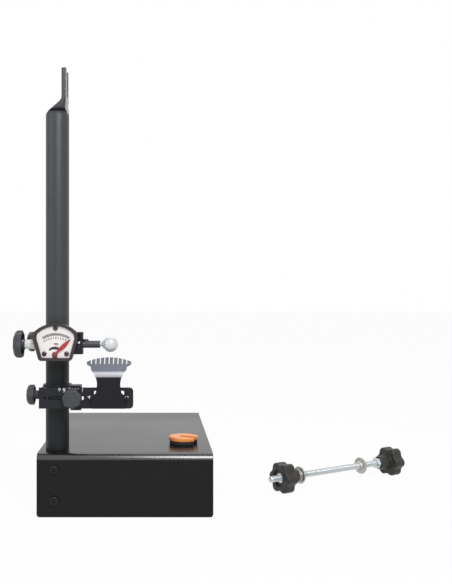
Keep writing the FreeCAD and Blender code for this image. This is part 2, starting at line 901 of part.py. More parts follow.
def feeler_ball():
    """Polished ball with a short neck on the rod's end."""
    ball = Part.makeSphere(ball_diameter / 2, vector(ball_x, plunger_y, plunger_z))
    neck_end = ball_x - ball_diameter / 2
    start = (neck_end - neck_length / 2, plunger_y, plunger_z)
    neck = bar(neck_diameter / 2, start, (ball_x, plunger_y, plunger_z))
    shoulder = taper(neck_diameter / 2, neck_shoulder / 2, start,
                     (ball_x - neck_shoulder_back, plunger_y, plunger_z))
    bore_start = (start[0] - overrun, plunger_y, plunger_z)
    bore = bar(feeler_rod / 2, bore_start, (neck_end, plunger_y, plunger_z))
    return joined([ball, neck, shoulder]).cut(bore)


def feeler_collar():
    start = -head_left - collar_length
    collar = bar(collar_diameter / 2, (start, plunger_y, plunger_z), (-head_left, plunger_y, plunger_z))
    bore_start = (start - overrun, plunger_y, plunger_z)
    bore_end = (overrun - head_left, plunger_y, plunger_z)
    return collar.cut(bar(feeler_rod / 2, bore_start, bore_end))


def feeler_knob():
    """Large lobed knob, hollow on the side of the head, with a hub inside."""
    right = -head_left - collar_length - feeler_hub_stand
    left = right - feeler_knob_height
    radius = feeler_knob_diameter / 2
    lobe = radius * feeler_knob_lobe_share
    valley = radius * feeler_knob_valley_share
    face = lobed_face(radius, feeler_knob_lobes, lobe, valley)
    knob = lobed_knob(face, feeler_knob_height, feeler_knob_edge)
    knob.rotate(vector(0, 0, 0), vector(0, 0, 1), 180)
    knob = laid_along_x(knob, (left, plunger_y, plunger_z))
    inside = radius - feeler_knob_rim
    floor = (right - feeler_knob_hollow, plunger_y, plunger_z)
    mouth = (right + feeler_hub_stand, plunger_y, plunger_z)
    hollow = bar(inside - feeler_knob_edge, floor, mouth)
    knob = joined([knob.cut(hollow), bar(feeler_hub_diameter / 2, floor, mouth)])
    return knob.cut(bar(feeler_rod / 2, floor, mouth))


def clamp_knob(diameter, height, left, hub_end, z):
    """Side knob with shallow lobes and a hub that reaches towards its block."""
    radius = diameter / 2
    face = lobed_face(radius, clamp_lobes, radius * clamp_lobe_share, radius * clamp_valley_share)
    knob = laid_along_x(lobed_knob(face, height, clamp_edge), (-left, post_y, z))
    hub = bar(clamp_hub / 2, (height - left, post_y, z), (-hub_end, post_y, z))
    bore = bar(stud_diameter / 2, (height / 2 - left, post_y, z), (0, post_y, z))
    return joined([knob, hub]).cut(bore)


def clamp_stud(left, height, z):
    end = -sleeve_radius - stud_end_gap
    return bar(stud_diameter / 2, (height / 2 - left, post_y, z), (end, post_y, z))


def gauge_clamp_knob():
    return clamp_knob(gauge_clamp_diameter, gauge_clamp_height, gauge_clamp_x, hub_reach, gauge_clamp_z)


def gauge_clamp_stud():
    return clamp_stud(gauge_clamp_x, gauge_clamp_height, gauge_clamp_z)


def lower_clamp_knob():
    return clamp_knob(lower_clamp_diameter, lower_clamp_height, lower_clamp_x, hub_reach, rail_middle_z)


def lower_clamp_stud():
    return clamp_stud(lower_clamp_x, lower_clamp_height, rail_middle_z)


def rail_head():
    """Lower block: a ring round the sleeve and a grooved bar that guides the rail."""
    top = lower_bottom + lower_body_height
    guide_top = lower_bottom + guide_height
    low = rail_bottom + guide_inset
    back_y = guide_front_y + guide_bar_depth - sleeve_flange
    ring = bar(sleeve_flange_diameter / 2, (0, post_y, lower_bottom), (0, post_y, top))
    cheeks = box((-guide_left, guide_front_y, low), (guide_left, post_y, top))
    web = box((0, guide_front_y, low), (guide_right, back_y, top))
    block = box((guide_right - guide_block, guide_front_y, lower_bottom), (guide_right, back_y, guide_top))
    boss = bar(clamp_boss / 2, (-clamp_boss_reach, post_y, rail_middle_z), (0, post_y, rail_middle_z))
    head = joined([ring, cheeks, web, block, boss])
    bore_start = (0, post_y, lower_bottom - overrun)
    head = head.cut(bar(carriage_bore, bore_start, (0, post_y, guide_top + overrun)))
    flange = sleeve_flange_diameter / 2 + running_gap
    head = head.cut(bar(flange, (0, post_y, top), (0, post_y, guide_top + overrun)))
    groove = box(
        (-guide_left - overrun, guide_front_y - overrun, rail_bottom - rail_gap),
        (guide_right + overrun, rail_back_y + rail_gap, rail_bottom + rail_height + rail_gap),
    )
    head = head.cut(groove)
    hole = stud_diameter / 2 + running_gap
    start = (-clamp_boss_reach - overrun, post_y, rail_middle_z)
    head = head.cut(bar(hole, start, (0, post_y, rail_middle_z)))
    hole = lock_stud / 2 + running_gap
    start = (lock_knob_x, guide_front_y, rail_middle_z)
    end = (lock_knob_x, rail_back_y + rail_gap + lock_stud_grip + loose_gap, rail_middle_z)
    return head.cut(bar(hole, start, end))


def rail():
    """Slotted rail with a window and two lugs that carry the hinge pin."""
    top = rail_bottom + rail_height
    plate = box((-rail_left, rail_front_y, rail_bottom), (rail_right, rail_back_y, top))
    corners = edges_along(plate, vector(0, 1, 0))
    plate = plate.makeFillet(rail_corner, [edge for edge in corners if edge.CenterOfMass.x > 0])
    half = rail_slot_width / 2
    start_y = rail_front_y - overrun
    end_y = rail_back_y + overrun
    left = half - rail_slot_left
    right = rail_slot_right - half
    slot = [box((left, start_y, rail_middle_z - half), (right, end_y, rail_middle_z + half))]
    for x in (left, right):
        slot.append(bar(half, (x, start_y, rail_middle_z), (x, end_y, rail_middle_z)))
    plate = plate.cut(slot[0].fuse(slot[1:]))
    hole = bar(rail_hole / 2, (-rail_hole_x, start_y, rail_middle_z), (-rail_hole_x, end_y, rail_middle_z))
    plate = plate.cut(hole)
    low = (comb_x - window_half_width, start_y, rail_bottom + window_bottom)
    window = box(low, (comb_x + window_half_width, end_y, rail_bottom + window_top))
    window = window.makeFillet(window_corner, edges_along(window, vector(0, 1, 0)))
    plate = plate.cut(window)
    lugs = []
    for side in (-1, 1):
        inner = comb_x + side * lug_inner
        outer = comb_x + side * lug_outer
        start = (inner, hinge_y, hinge_z)
        ear = bar(lug_radius, start, (outer, hinge_y, hinge_z))
        low = (min(inner, outer), hinge_y, hinge_z - lug_radius)
        high = (max(inner, outer), rail_front_y + loose_gap, hinge_z + lug_radius)
        lugs.append(joined([ear, box(low, high)]))
    plate = joined([plate] + lugs)
    pin = bar(hinge_pin / 2, (comb_x - comb_half_width, hinge_y, hinge_z),
              (comb_x + comb_half_width, hinge_y, hinge_z))
    return plate.cut(pin)


def rail_lock_knob():
    """Lobed knob in front of the rail."""
    radius = lock_knob_diameter / 2
    face = lobed_face(radius, clamp_lobes, radius * lock_lobe_share, radius * lock_valley_share)
    knob = lobed_knob(face, lock_knob_height, lock_edge)
    knob.rotate(vector(0, 0, 0), vector(1, 0, 0), 90)
    front = rail_front_y - loose_gap - lock_hub_height
    knob.translate(vector(lock_knob_x, front, rail_middle_z))
    start = (lock_knob_x, front, rail_middle_z)
    hub = bar(lock_hub / 2, start, (lock_knob_x, rail_front_y - loose_gap, rail_middle_z))
    bore = bar(lock_stud / 2, (lock_knob_x, front - lock_knob_height / 2, rail_middle_z),
               (lock_knob_x, rail_front_y, rail_middle_z))
    return joined([knob, hub]).cut(bore)


def rail_lock_stud():
    front = rail_front_y - loose_gap - lock_hub_height - lock_knob_height / 2
    end = rail_back_y + rail_gap + lock_stud_grip
    return bar(lock_stud / 2, (lock_knob_x, front, rail_middle_z), (lock_knob_x, end, rail_middle_z))


def comb_plate():
    """Sheet feeler with a slotted fan that leans back, a neck, and two hinge ears."""
    reach = comb_half_width + overrun
    start_x = comb_x - reach
    bend_z = comb_bottom + comb_bend_height
    lean = math.radians(comb_lean)
    centre_y = comb_back_y + comb_bend_radius
    outer = comb_bend_radius + comb_sheet

    def round_bend(radius, angle):
        return vector(start_x, centre_y - radius * math.cos(angle), bend_z + radius * math.sin(angle))

    run = (comb_height - comb_bend_height) / math.cos(lean)
    up = vector(0, math.sin(lean), math.cos(lean)) * run
    foot_front = vector(start_x, comb_front_y, comb_bottom)
    foot_back = vector(start_x, comb_back_y, comb_bottom)
    front_end = round_bend(outer, lean)
    back_end = round_bend(comb_bend_radius, lean)
    edges = [
        Part.makeLine(foot_front, round_bend(outer, 0)),
        arc(round_bend(outer, 0), round_bend(outer, lean / 2), front_end),
        Part.makeLine(front_end, front_end + up),
        Part.makeLine(front_end + up, back_end + up),
        Part.makeLine(back_end + up, back_end),
        arc(back_end, round_bend(comb_bend_radius, lean / 2), round_bend(comb_bend_radius, 0)),
        Part.makeLine(round_bend(comb_bend_radius, 0), foot_back),
        Part.makeLine(foot_back, foot_front),
    ]
    strip = Part.Face(Part.Wire(edges)).extrude(vector(2 * reach, 0, 0))
    plate = strip.common(comb_outline())
    slots = []
    depth = comb_bottom + comb_height - comb_slot_depth
    middle = (comb_slots - 1) / 2
    for slot in range(comb_slots):
        x = comb_x + (slot - middle) * comb_tooth_pitch
        low = (x - comb_slot_width / 2, comb_front_y - overrun, depth)
        high = (x + comb_slot_width / 2, comb_front_y + 2 * reach, comb_bottom + 2 * comb_height)
        slots.append(box(low, high))
    plate = plate.cut(slots)
    ears = []
    for side in (-1, 1):
        inner = comb_x + side * ear_inner
        outer_x = comb_x + side * ear_outer
        knuckle = bar(ear_radius, (inner, hinge_y, hinge_z), (outer_x, hinge_y, hinge_z))
        low = (min(inner, outer_x), comb_front_y, hinge_z - ear_radius)
        high = (max(inner, outer_x), hinge_y, hinge_z + ear_radius)
        ears.append(joined([knuckle, box(low, high)]))
    plate = joined([plate] + ears)
    hole = hinge_pin / 2 + running_gap
    return plate.cut(bar(hole, (start_x, hinge_y, hinge_z), (comb_x + reach, hinge_y, hinge_z)))


def comb_outline():
    """The comb as seen from the front, as a thick block to cut the bent strip with."""
    front = comb_front_y - overrun
    right = []
    for wide, high in comb_edge_shares:
        right.append(vector(comb_x + comb_half_width * wide, front, comb_bottom + comb_height * high))
    left = [vector(2 * comb_x - point.x, front, point.z) for point in right]
    peak = vector(comb_x, front, comb_bottom + comb_height)
    edges = [arc(left[0], peak, right[0])]
    for side in (right, left):
        for start, end in zip(side, side[1:]):
            edges.append(Part.makeLine(start, end))
    edges.append(Part.makeLine(right[-1], left[-1]))
    wire = Part.Wire(Part.__sortEdges__(edges))
    block = Part.Face(wire).extrude(vector(0, 2 * comb_height, 0))
    tips = []
    for edge in edges_along(block, vector(0, 1, 0)):
        aside = abs(edge.CenterOfMass.x - comb_x)
        if aside > comb_half_width * comb_tip_share:
            tips.append(edge)
    return block.makeFillet(comb_sheet / 2, tips)


def hinge_pin_piece():
    """Pin with a collar and a short riveted tip at its left end."""
    left = comb_x - lug_outer
    right = comb_x + lug_outer + clip_sheet + pin_head_height / 2
    collar_x = left - pin_head_height
    shaft = bar(hinge_pin / 2, (left, hinge_y, hinge_z), (right, hinge_y, hinge_z))
    head = bar(pin_head / 2, (collar_x, hinge_y, hinge_z), (left, hinge_y, hinge_z))
    tip = bar(pin_tip / 2, (collar_x - pin_tip_length, hinge_y, hinge_z), (left, hinge_y, hinge_z))
    return joined([shaft, head, tip])


def pin_clip():
    """Retaining ring on the pin's right end."""
    start = comb_x + lug_outer
    ring = bar(clip_diameter / 2, (start, hinge_y, hinge_z), (start + clip_sheet, hinge_y, hinge_z))
    return ring.cut(bar(hinge_pin / 2, (start - overrun, hinge_y, hinge_z),
                        (start + clip_sheet + overrun, hinge_y, hinge_z)))


def eased_corner(start, corner, end):
    """The arc that leaves start and reaches end along the two equal sides of a corner."""
    middle = (start + end) * 0.5
    half_turn = math.acos(min(1.0, (start - middle).Length / (start - corner).Length))
    share = math.tan(half_turn / 2) / math.tan(half_turn)
    return arc(start, middle + (corner - middle) * share, end)


def double_arc(start, start_way, end, end_way):
    """Two tangent arcs between two points with given directions."""
    gap = end - start
    spread = 1 - start_way.dot(end_way)
    along = gap.dot(start_way + end_way)
    side = (math.sqrt(along ** 2 + 2 * spread * gap.dot(gap)) - along) / (2 * spread)
    first = start + start_way * side
    second = end - end_way * side
    join = (first + second) * 0.5
    return [eased_corner(start, first, join), eased_corner(join, second, end)]


def torsion_spring(start_x):
    """One unbroken wire: a leg, turns round the pin, and a second leg."""
    quarter = math.pi / 2
    climb = spring_pitch / 4
    slope = vector(climb, 0, 0)

    def coil_point(step):
        angle = quarter * step
        y = hinge_y + spring_radius * math.cos(angle)
        return vector(start_x + climb * step, y, hinge_z + spring_radius * math.sin(angle))

    def coil_way(step):
        angle = quarter * step
        way = vector(0, -math.sin(angle), math.cos(angle)) * (spring_radius * quarter)
        way = way + slope
        return way.normalize()

    steps = round(4 * spring_turns)
    first = coil_point(0)
    last = coil_point(steps)
    edges = [Part.makeLine(first - coil_way(0) * spring_leg, first)]
    for step in range(steps):
        edges += double_arc(coil_point(step), coil_way(step), coil_point(step + 1), coil_way(step + 1))
    edges.append(Part.makeLine(last, last + coil_way(steps) * spring_leg))
    path = Part.Wire(edges)
    circle = Part.Circle(edges[0].Vertexes[0].Point, coil_way(0), spring_wire / 2)
    section = Part.Wire(circle.toShape())
    return path.makePipeShell([section], True, False)


def comb_springs():
    """A pair of torsion springs, one inside each ear, mirrored."""
    start = comb_x - ear_inner + spring_wire
    left = torsion_spring(start)
    right = left.mirror(vector(comb_x, 0, 0), vector(1, 0, 0))
    gap = spring_pitch - spring_wire
    print("springs: least gap between turns", round(gap, 3), "mm")
    return [left, right]


def slotted_disc(bottom, height, inset):
    """A disc with a slot from its middle to its edge."""
    radius = washer_diameter / 2 - inset
    top = bottom + height
    disc = bar(radius, (washer_x, washer_y, bottom), (washer_x, washer_y, top))
    half = washer_slot / 2
    eye = bar(half, (washer_x, washer_y, bottom - overrun), (washer_x, washer_y, top + overrun))
    low = (washer_x, washer_y - half, bottom - overrun)
    mouth = box(low, (washer_x + washer_diameter, washer_y + half, top + overrun))
    return disc.cut(eye.fuse(mouth))


def slotted_washer():
    """Orange disc with eased edges and a dimple beside its slot."""
    bottom = base_height + washer_pad
    disc = slotted_disc(bottom, washer_disc, 0)
    top = bottom + washer_disc
    rims = []
    for edge in disc.Edges:
        if edge.BoundBox.ZLength < washer_edge and abs(edge.CenterOfMass.z - top) < washer_edge:
            rims.append(edge)
    disc = disc.makeChamfer(washer_edge, rims)
    turn = math.radians(washer_dimple_turn)
    x = washer_x + washer_dimple_radius * math.cos(turn)
    y = washer_y + washer_dimple_radius * math.sin(turn)
    dimple = bar(washer_dimple / 2, (x, y, top - washer_dimple_depth), (x, y, top + overrun))
    disc = disc.cut(dimple)
    disc.rotate(vector(washer_x, washer_y, 0), vector(0, 0, 1), washer_turn)
    return disc


def washer_pad_piece():
    pad = slotted_disc(base_height, washer_pad, washer_edge)
    pad.rotate(vector(washer_x, washer_y, 0), vector(0, 0, 1), washer_turn)
    return pad


def axle_height():
    """The rod's height when two lobes of each star knob stand on the bench."""
    lobe = star_lobe / 2
    return (star_diameter / 2 - lobe) * math.cos(math.pi / star_lobes) + lobe


def beside_base(shape):
    """Move a piece modelled along X from the origin to where the axle set lies."""
    shape.rotate(vector(0, 0, 0), vector(0, 0, 1), axle_turn)
    shape.translate(vector(axle_x, axle_y, axle_height()))
    return shape


def star_knob(start, hub_height, hub_way):
    """Six-lobed knob along X; the hub stands on its left or right side."""
    face = lobed_face(star_diameter / 2, star_lobes, star_lobe / 2, star_valley / 2)
    half_step = 180 / star_lobes
    knob = lobed_knob(face, star_height, star_edge)
    knob.rotate(vector(0, 0, 0), vector(0, 0, 1), half_step)
    knob = laid_along_x(knob, (start, 0, 0))
    root = start if hub_way < 0 else start + star_height
    hub = taper(star_hub / 2, star_hub_end / 2, (root, 0, 0), (root + hub_way * hub_height, 0, 0))
    return joined([knob, hub])


def axle_rod():
    end = axle_length - fixed_knob_cap
    rod = bar(axle_diameter / 2, (0, 0, 0), (end, 0, 0))
    tip = [edge for edge in rod.Edges if edge.BoundBox.XMax < axle_tip]
    return beside_base(rod.makeChamfer(axle_tip, tip))


def loose_knob():
    """Star knob that the rod runs through."""
    knob = star_knob(loose_knob_start, star_hub_height, 1)
    end = loose_knob_start + star_height + star_hub_height
    start = loose_knob_start + insert_start
    seat = bar(insert_diameter / 2, (start, 0, 0), (end + overrun, 0, 0))
    hole = bar(axle_diameter / 2 + loose_gap, (loose_knob_start - overrun, 0, 0), (start, 0, 0))
    return beside_base(knob.cut(seat.fuse(hole)))


def loose_knob_insert():
    start = loose_knob_start + insert_start
    end = loose_knob_start + star_height + star_hub_height
    bush = bar(insert_diameter / 2, (start, 0, 0), (end, 0, 0))
    bore = bar(axle_diameter / 2 + running_gap, (start - overrun, 0, 0), (end + overrun, 0, 0))
    return beside_base(bush.cut(bore))


def fixed_knob():
    """Star knob with a blind hole that holds the rod's other end."""
    start = axle_length - star_height
    knob = star_knob(start, fixed_knob_hub_height, -1)
    hole_start = start - fixed_knob_hub_height - overrun
    hole = bar(axle_diameter / 2, (hole_start, 0, 0), (axle_length - fixed_knob_cap, 0, 0))
    return beside_base(knob.cut(hole))


def lock_nut():
    """Nut that locks the rod against the fixed knob's hub."""
    end = axle_length - star_height - fixed_knob_hub_height
    start = end - lock_nut_height
    nut = hexagon(lock_nut_flats, (start, 0, 0), (end, 0, 0))
    return beside_base(nut.cut(bar(axle_diameter / 2, (start - overrun, 0, 0), (end + overrun, 0, 0))))


def cone(at, knob_way):
    """Stepped cone: a flange, a round step on the knob's side and a nose on the other."""
    half = cone_flange_width / 2
    flange = bar(cone_flange / 2, (at - half, 0, 0), (at + half, 0, 0))
    step_end = at + knob_way * (half + cone_step_width)
    step = bar(cone_step / 2, (at, 0, 0), (step_end, 0, 0))
    nose_end = at - knob_way * (half + cone_nose_width)
    nose = taper(cone_nose / 2, cone_nose_end / 2, (at, 0, 0), (nose_end, 0, 0))
    bore = bar(axle_diameter / 2 + running_gap, (at - cone_flange, 0, 0), (at + cone_flange, 0, 0))
    return beside_base(joined([flange, step, nose]).cut(bore))


def near_cone():
    return cone(near_cone_at, -1)


def far_cone():
    return cone(axle_length - far_cone_back, 1)


pieces = {
    "base_shell": base_shell,
    "post": post,
    "post_bolts": post_bolts,
    "post_spacers": post_spacers,
    "post_nuts": post_nuts,
    "gauge_sleeve": gauge_sleeve,
    "gauge_head": gauge_head,
    "gauge_clamp_knob": gauge_clamp_knob,
    "gauge_clamp_stud": gauge_clamp_stud,
    "dial_housing": dial_housing,
    "dial_face": dial_face,
    "dial_rivets": dial_rivets,
    "needle_pivot": needle_pivot,
    "needle": needle,
    "plunger": plunger,
    "drive_dog": drive_dog,
    "rod_screw": rod_screw,
    "feeler_rod": feeler_rod_piece,
    "feeler_ball": feeler_ball,
    "feeler_collar": feeler_collar,
    "feeler_knob": feeler_knob,
    "lower_sleeve": lower_sleeve,
    "rail_head": rail_head,
    "lower_clamp_knob": lower_clamp_knob,
    "lower_clamp_stud": lower_clamp_stud,
    "rail": rail,
    "rail_lock_knob": rail_lock_knob,
    "rail_lock_stud": rail_lock_stud,
    "comb_plate": comb_plate,
    "hinge_pin": hinge_pin_piece,
    "pin_clip": pin_clip,
    "comb_springs": comb_springs,
    "slotted_washer": slotted_washer,
    "washer_pad": washer_pad_piece,
    "axle_rod": axle_rod,
    "loose_knob": loose_knob,
    "loose_knob_insert": loose_knob_insert,
    "fixed_knob": fixed_knob,
    "lock_nut": lock_nut,
    "near_cone": near_cone,
    "far_cone": far_cone,
}

os.makedirs("parts", exist_ok=True)
for name, build in pieces.items():
    shape = build()
    if isinstance(shape, list):
        shape = Part.makeCompound(shape)
    shape.exportStep("parts/" + name + ".step")
    size = shape.BoundBox
    print(name, len(shape.Solids), shape.isValid(), round(shape.Volume),
          [round(v, 1) for v in (size.XMin, size.XMax, size.YMin, size.YMax, size.ZMin, size.ZMax)])
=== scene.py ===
import math
import bmesh
import bpy
from mathutils import Matrix, Vector


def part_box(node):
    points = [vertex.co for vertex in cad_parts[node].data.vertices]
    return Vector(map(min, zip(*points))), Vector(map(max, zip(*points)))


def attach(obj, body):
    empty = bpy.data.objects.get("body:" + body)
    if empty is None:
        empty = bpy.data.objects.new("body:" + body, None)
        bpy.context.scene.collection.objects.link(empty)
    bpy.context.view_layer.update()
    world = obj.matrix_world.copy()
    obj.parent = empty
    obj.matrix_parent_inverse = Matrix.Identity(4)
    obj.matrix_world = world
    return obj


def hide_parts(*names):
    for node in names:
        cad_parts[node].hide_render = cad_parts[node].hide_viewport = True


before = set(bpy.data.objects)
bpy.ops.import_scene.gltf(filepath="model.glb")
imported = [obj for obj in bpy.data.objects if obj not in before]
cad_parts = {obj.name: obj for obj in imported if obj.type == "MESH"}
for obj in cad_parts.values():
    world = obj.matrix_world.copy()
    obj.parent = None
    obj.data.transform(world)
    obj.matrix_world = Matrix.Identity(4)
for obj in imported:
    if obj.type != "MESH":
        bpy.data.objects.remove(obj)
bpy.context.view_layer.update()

# Base
# One steel sheet, 3 mm thick, bent down at the front and back and open at both sides.
# It is powder coated satin black; the coating flows a little, so it has a faint orange peel.
MM = 0.001
sheet = 3.0
base_bend = 8.0
back_shade_from = 200.0
back_shade_to = 245.0
base_corner = 3.5
paint_peel = 2.6


def reach(node):
    """Lowest and highest corner of a CAD node, in millimetres."""
    low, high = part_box(node)
    return low / MM, high / MM


def linear(code):
    """Linear colour of an sRGB hex value."""
    channels = []
    for start in (0, 2, 4):
        value = int(code[start:start + 2], 16) / 255
        channels.append(value / 12.92 if value <= 0.04045 else ((value + 0.055) / 1.055) ** 2.4)
    return (*channels, 1.0)


def per_mm(size):
    """Scale of a pattern whose features are this many millimetres across."""
    return 1 / (size * MM)


def add_node(finish, kind, settings=(), links=()):
    """Adds a node; settings are (name, value) pairs and links are (input, node, output)."""
    tree = finish.node_tree
    node = tree.nodes.new(kind)
    for name, value in settings:
        if isinstance(name, str) and hasattr(node, name):
            setattr(node, name, value)
        else:
            node.inputs[name].default_value = value
    for name, source, output in links:
        tree.links.new(source.outputs[output], node.inputs[name])
    return node


def new_finish(name):
    """An empty node material and the coordinates that its patterns read."""
    finish = bpy.data.materials.new(name)
    finish.use_nodes = True
    finish.node_tree.nodes.clear()
    return finish, add_node(finish, "ShaderNodeTexCoord")


def noise(finish, source, size, detail, output="Object"):
    """A noise whose features are about this many millimetres across."""
    return add_node(finish, "ShaderNodeTexNoise", (("Scale", per_mm(size)), ("Detail", detail)),
                    (("Vector", source, output),))


def blend(finish, first, second, pattern):
    """A colour that wanders between two sRGB hex values as a pattern does."""
    return add_node(finish, "ShaderNodeMix", (("data_type", "RGBA"), (6, linear(first)), (7, linear(second))),
                    ((0, pattern, "Fac"),))


def span(finish, least, most, pattern):
    """A value that wanders between two limits as a pattern does."""
    return add_node(finish, "ShaderNodeMapRange", (("To Min", least), ("To Max", most)),
                    (("Value", pattern, "Fac"),))


def bumps(finish, strength, height, pattern):
    """Bumps in the surface, their height in millimetres."""
    return add_node(finish, "ShaderNodeBump", (("Strength", strength), ("Distance", height * MM)),
                    (("Height", pattern, "Fac"),))


def ramp(finish, place, axis, start, end, first=0.0, last=1.0):
    """A value that changes between two places along an axis, given in millimetres."""
    split = add_node(finish, "ShaderNodeSeparateXYZ", (), (("Vector", place, "Object"),))
    return add_node(finish, "ShaderNodeMapRange",
                    (("From Min", start * MM), ("From Max", end * MM), ("To Min", first), ("To Max", last)),
                    (("Value", split, axis),))


def coat(finish, settings, tone, links=(), gloss=None, ripple=None):
    """Closes a finish with its shader; gloss is a node for the roughness, ripple one for bumps."""
    links = [("Base Color", tone, 2), *links]
    if gloss is not None:
        links.append(("Roughness", gloss, "Result"))
    if ripple is not None:
        links.append(("Normal", ripple, "Normal"))
    shader = add_node(finish, "ShaderNodeBsdfPrincipled", settings, links)
    add_node(finish, "ShaderNodeOutputMaterial", (), (("Surface", shader, "BSDF"),))


def plain_finish(name, size, detail, dark, pale, settings, gloss=None, ripple=None):
    """A finish in which one noise stirs the colour and, if given, the roughness and the bumps."""
    finish, place = new_finish(name)
    pattern = noise(finish, place, size, detail)
    gloss = gloss and span(finish, *gloss, pattern)
    ripple = ripple and bumps(finish, *ripple, pattern)
    coat(finish, settings, blend(finish, dark, pale, pattern), (), gloss, ripple)
    return finish


def spun(shape, degrees, axis):
    """Turns a shape round an axis through the origin."""
    bmesh.ops.rotate(shape, cent=(0, 0, 0), matrix=Matrix.Rotation(math.radians(degrees), 3, axis),
                     verts=shape.verts)


def moved(shape, vec):
    """Moves a whole shape."""
    bmesh.ops.translate(shape, vec=vec, verts=shape.verts)


def faced(shape):
    """Turns all of a shape's faces outwards."""
    bmesh.ops.recalc_face_normals(shape, faces=shape.faces)


def extruded(shape, edges):
    """Extrudes edges; gives the new vertices and the new edges."""
    grown = bmesh.ops.extrude_edge_only(shape, edges=edges)["geom"]
    return [item for item in grown if item in shape.verts], [item for item in grown if item in shape.edges]


def rounded(shape, geom, offset, segments, affect="EDGES"):
    """Bevels edges or corners in a round."""
    bmesh.ops.bevel(shape, geom=geom, offset=offset, offset_type="OFFSET", segments=segments, profile=0.5,
                    affect=affect, material=-1)


def link(item):
    """Puts an object into the scene."""
    bpy.context.scene.collection.objects.link(item)


def set_in_place(shape, name, body, finish, nodes=(), crease=35):
    """Makes a finished piece from a bmesh in millimetres, riding on its body."""
    bmesh.ops.scale(shape, vec=(MM, MM, MM), verts=shape.verts)
    mesh = bpy.data.meshes.new(name)
    shape.to_mesh(mesh)
    shape.free()
    mesh.materials.append(finish)
    mesh.shade_smooth()
    mesh.set_sharp_from_angle(angle=math.radians(crease))
    piece = bpy.data.objects.new(name, mesh)
    link(piece)
    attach(piece, body)
    if nodes:
        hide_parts(*nodes)
    return piece


def ease_edges(piece, width):
    """Rounds the sharp edges as tumbling and paint leave them; flats stay flat."""
    eased = piece.modifiers.new("eased edges", "BEVEL")
    eased.width = width * MM
    eased.segments = 3
    eased.limit_method = "ANGLE"
    eased.angle_limit = math.radians(35)
    flats = piece.modifiers.new("flat faces", "WEIGHTED_NORMAL")
    flats.keep_sharp = True


# Satin black powder coat: near black seen square on, and a grey mirror seen along its surface.
# Its reflection is turned down towards the back: painted shade.
base_paint, place = new_finish("satin black powder coat on steel")
peel = noise(base_paint, place, paint_peel, 3.0)
smears = noise(base_paint, place, 90, 4.0)
gloss = span(base_paint, 0.2, 0.28, smears)
tone = blend(base_paint, "0C0C0F", "131316", peel)
ripple = bumps(base_paint, 0.22, 0.05, peel)
# Painted shade: the specular level falls from front to back.
sheen = ramp(base_paint, place, "Y", back_shade_from, back_shade_to, 0.2, 0.115)
coat(base_paint, (("IOR", 1.5),), tone, links=(("Specular IOR Level", sheen, "Result"),), gloss=gloss,
     ripple=ripple)

# The same coat with a stronger, glossier reflection on the bends: a painted highlight that gives a bright
# line.
bend_highlight_paint = plain_finish("powder coat with a painted highlight on the bends", 14, 3.0, "0C0C0F", "151518",
                            (("IOR", 1.5), ("Specular IOR Level", 1.0)), gloss=(0.16, 0.24))

base_low, base_high = reach("base_shell")
shell = bmesh.new()
bmesh.ops.create_cube(shell, size=1)
bmesh.ops.scale(shell, vec=base_high - base_low, verts=shell.verts)
moved(shell, (base_low + base_high) / 2)
open_sides = [face for face in shell.faces if abs(face.normal.x) > 0.5 or face.normal.z < -0.5]
bmesh.ops.delete(shell, geom=open_sides, context="FACES")
bends = [edge for edge in shell.edges if all(vert.co.z > base_low.z + base_bend for vert in edge.verts)
         and abs(edge.verts[0].co.y - edge.verts[1].co.y) < 1]
rounded(shell, bends, base_bend, 14)
corners = [vert for vert in shell.verts if vert.co.z < base_low.z + 1]
rounded(shell, corners, base_corner, 8, "VERTICES")
base = set_in_place(shell, "base_sheet", "stand", base_paint, ("base_shell",))
base.data.materials.append(bend_highlight_paint)
# The bend faces, neither flat nor upright, take the painted highlight.
for face in base.data.polygons:
    if 0.15 < face.normal.z < 0.985:
        face.material_index = 1
wall = base.modifiers.new("sheet thickness", "SOLIDIFY")
wall.thickness = sheet * MM
wall.offset = -1
ease_edges(base, 0.5)

# Post
# A steel tube whose top is pressed flat in a die and slotted for the wheel's axle.
# Its powder coat is finely textured, a touch lighter and less glossy than the base.
paint_texture = 1.6
shaded_below = 170.0
unshaded_above = 230.0
lit_face_above = 455.0
fold_low = 463.4
fold_high = 468.5


def solid_copy(node):
    """A merged copy of a CAD solid in millimetres, its flat faces whole again."""
    shape = bmesh.new()
    shape.from_mesh(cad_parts[node].data)
    bmesh.ops.remove_doubles(shape, verts=shape.verts, dist=0.002 * MM)
    bmesh.ops.dissolve_limit(shape, angle_limit=math.radians(0.5), use_dissolve_boundaries=False,
                             verts=shape.verts, edges=shape.edges, delimit=set())
    bmesh.ops.scale(shape, vec=(1 / MM, 1 / MM, 1 / MM), verts=shape.verts)
    return shape


def dressed(node, name, body, finish, easing=0.0, crease=35):
    """A CAD solid's copy as a visible piece, with its edges eased."""
    piece = set_in_place(solid_copy(node), name, body, finish, (node,), crease)
    if easing:
        ease_edges(piece, easing)
    return piece


# Fine textured powder coat: charcoal with a cold tint, and a soft grey sheen down its sides.
# Low down, under the dial, it is painted darker and less shiny as painted shade, and a painted shade darkens
# the crimp's fold.
post_paint, place = new_finish("fine textured powder coat on steel tube")
texture = noise(post_paint, place, paint_texture, 5.0)
unshaded_tone = blend(post_paint, "26282B", "34363A", texture)
# Painted shade: below the dial the tone darkens and the sheen drops.
above = ramp(post_paint, place, "Z", shaded_below, unshaded_above)
tone = add_node(post_paint, "ShaderNodeMix", (("data_type", "RGBA"), (6, linear("1B1D1F"))),
                ((0, above, "Result"), (7, unshaded_tone, 2)))
sheen = add_node(post_paint, "ShaderNodeMapRange", (("To Min", 0.22), ("To Max", 0.5)),
                 (("Value", above, "Result"),))
ripple = bumps(post_paint, 0.5, 0.08, texture)
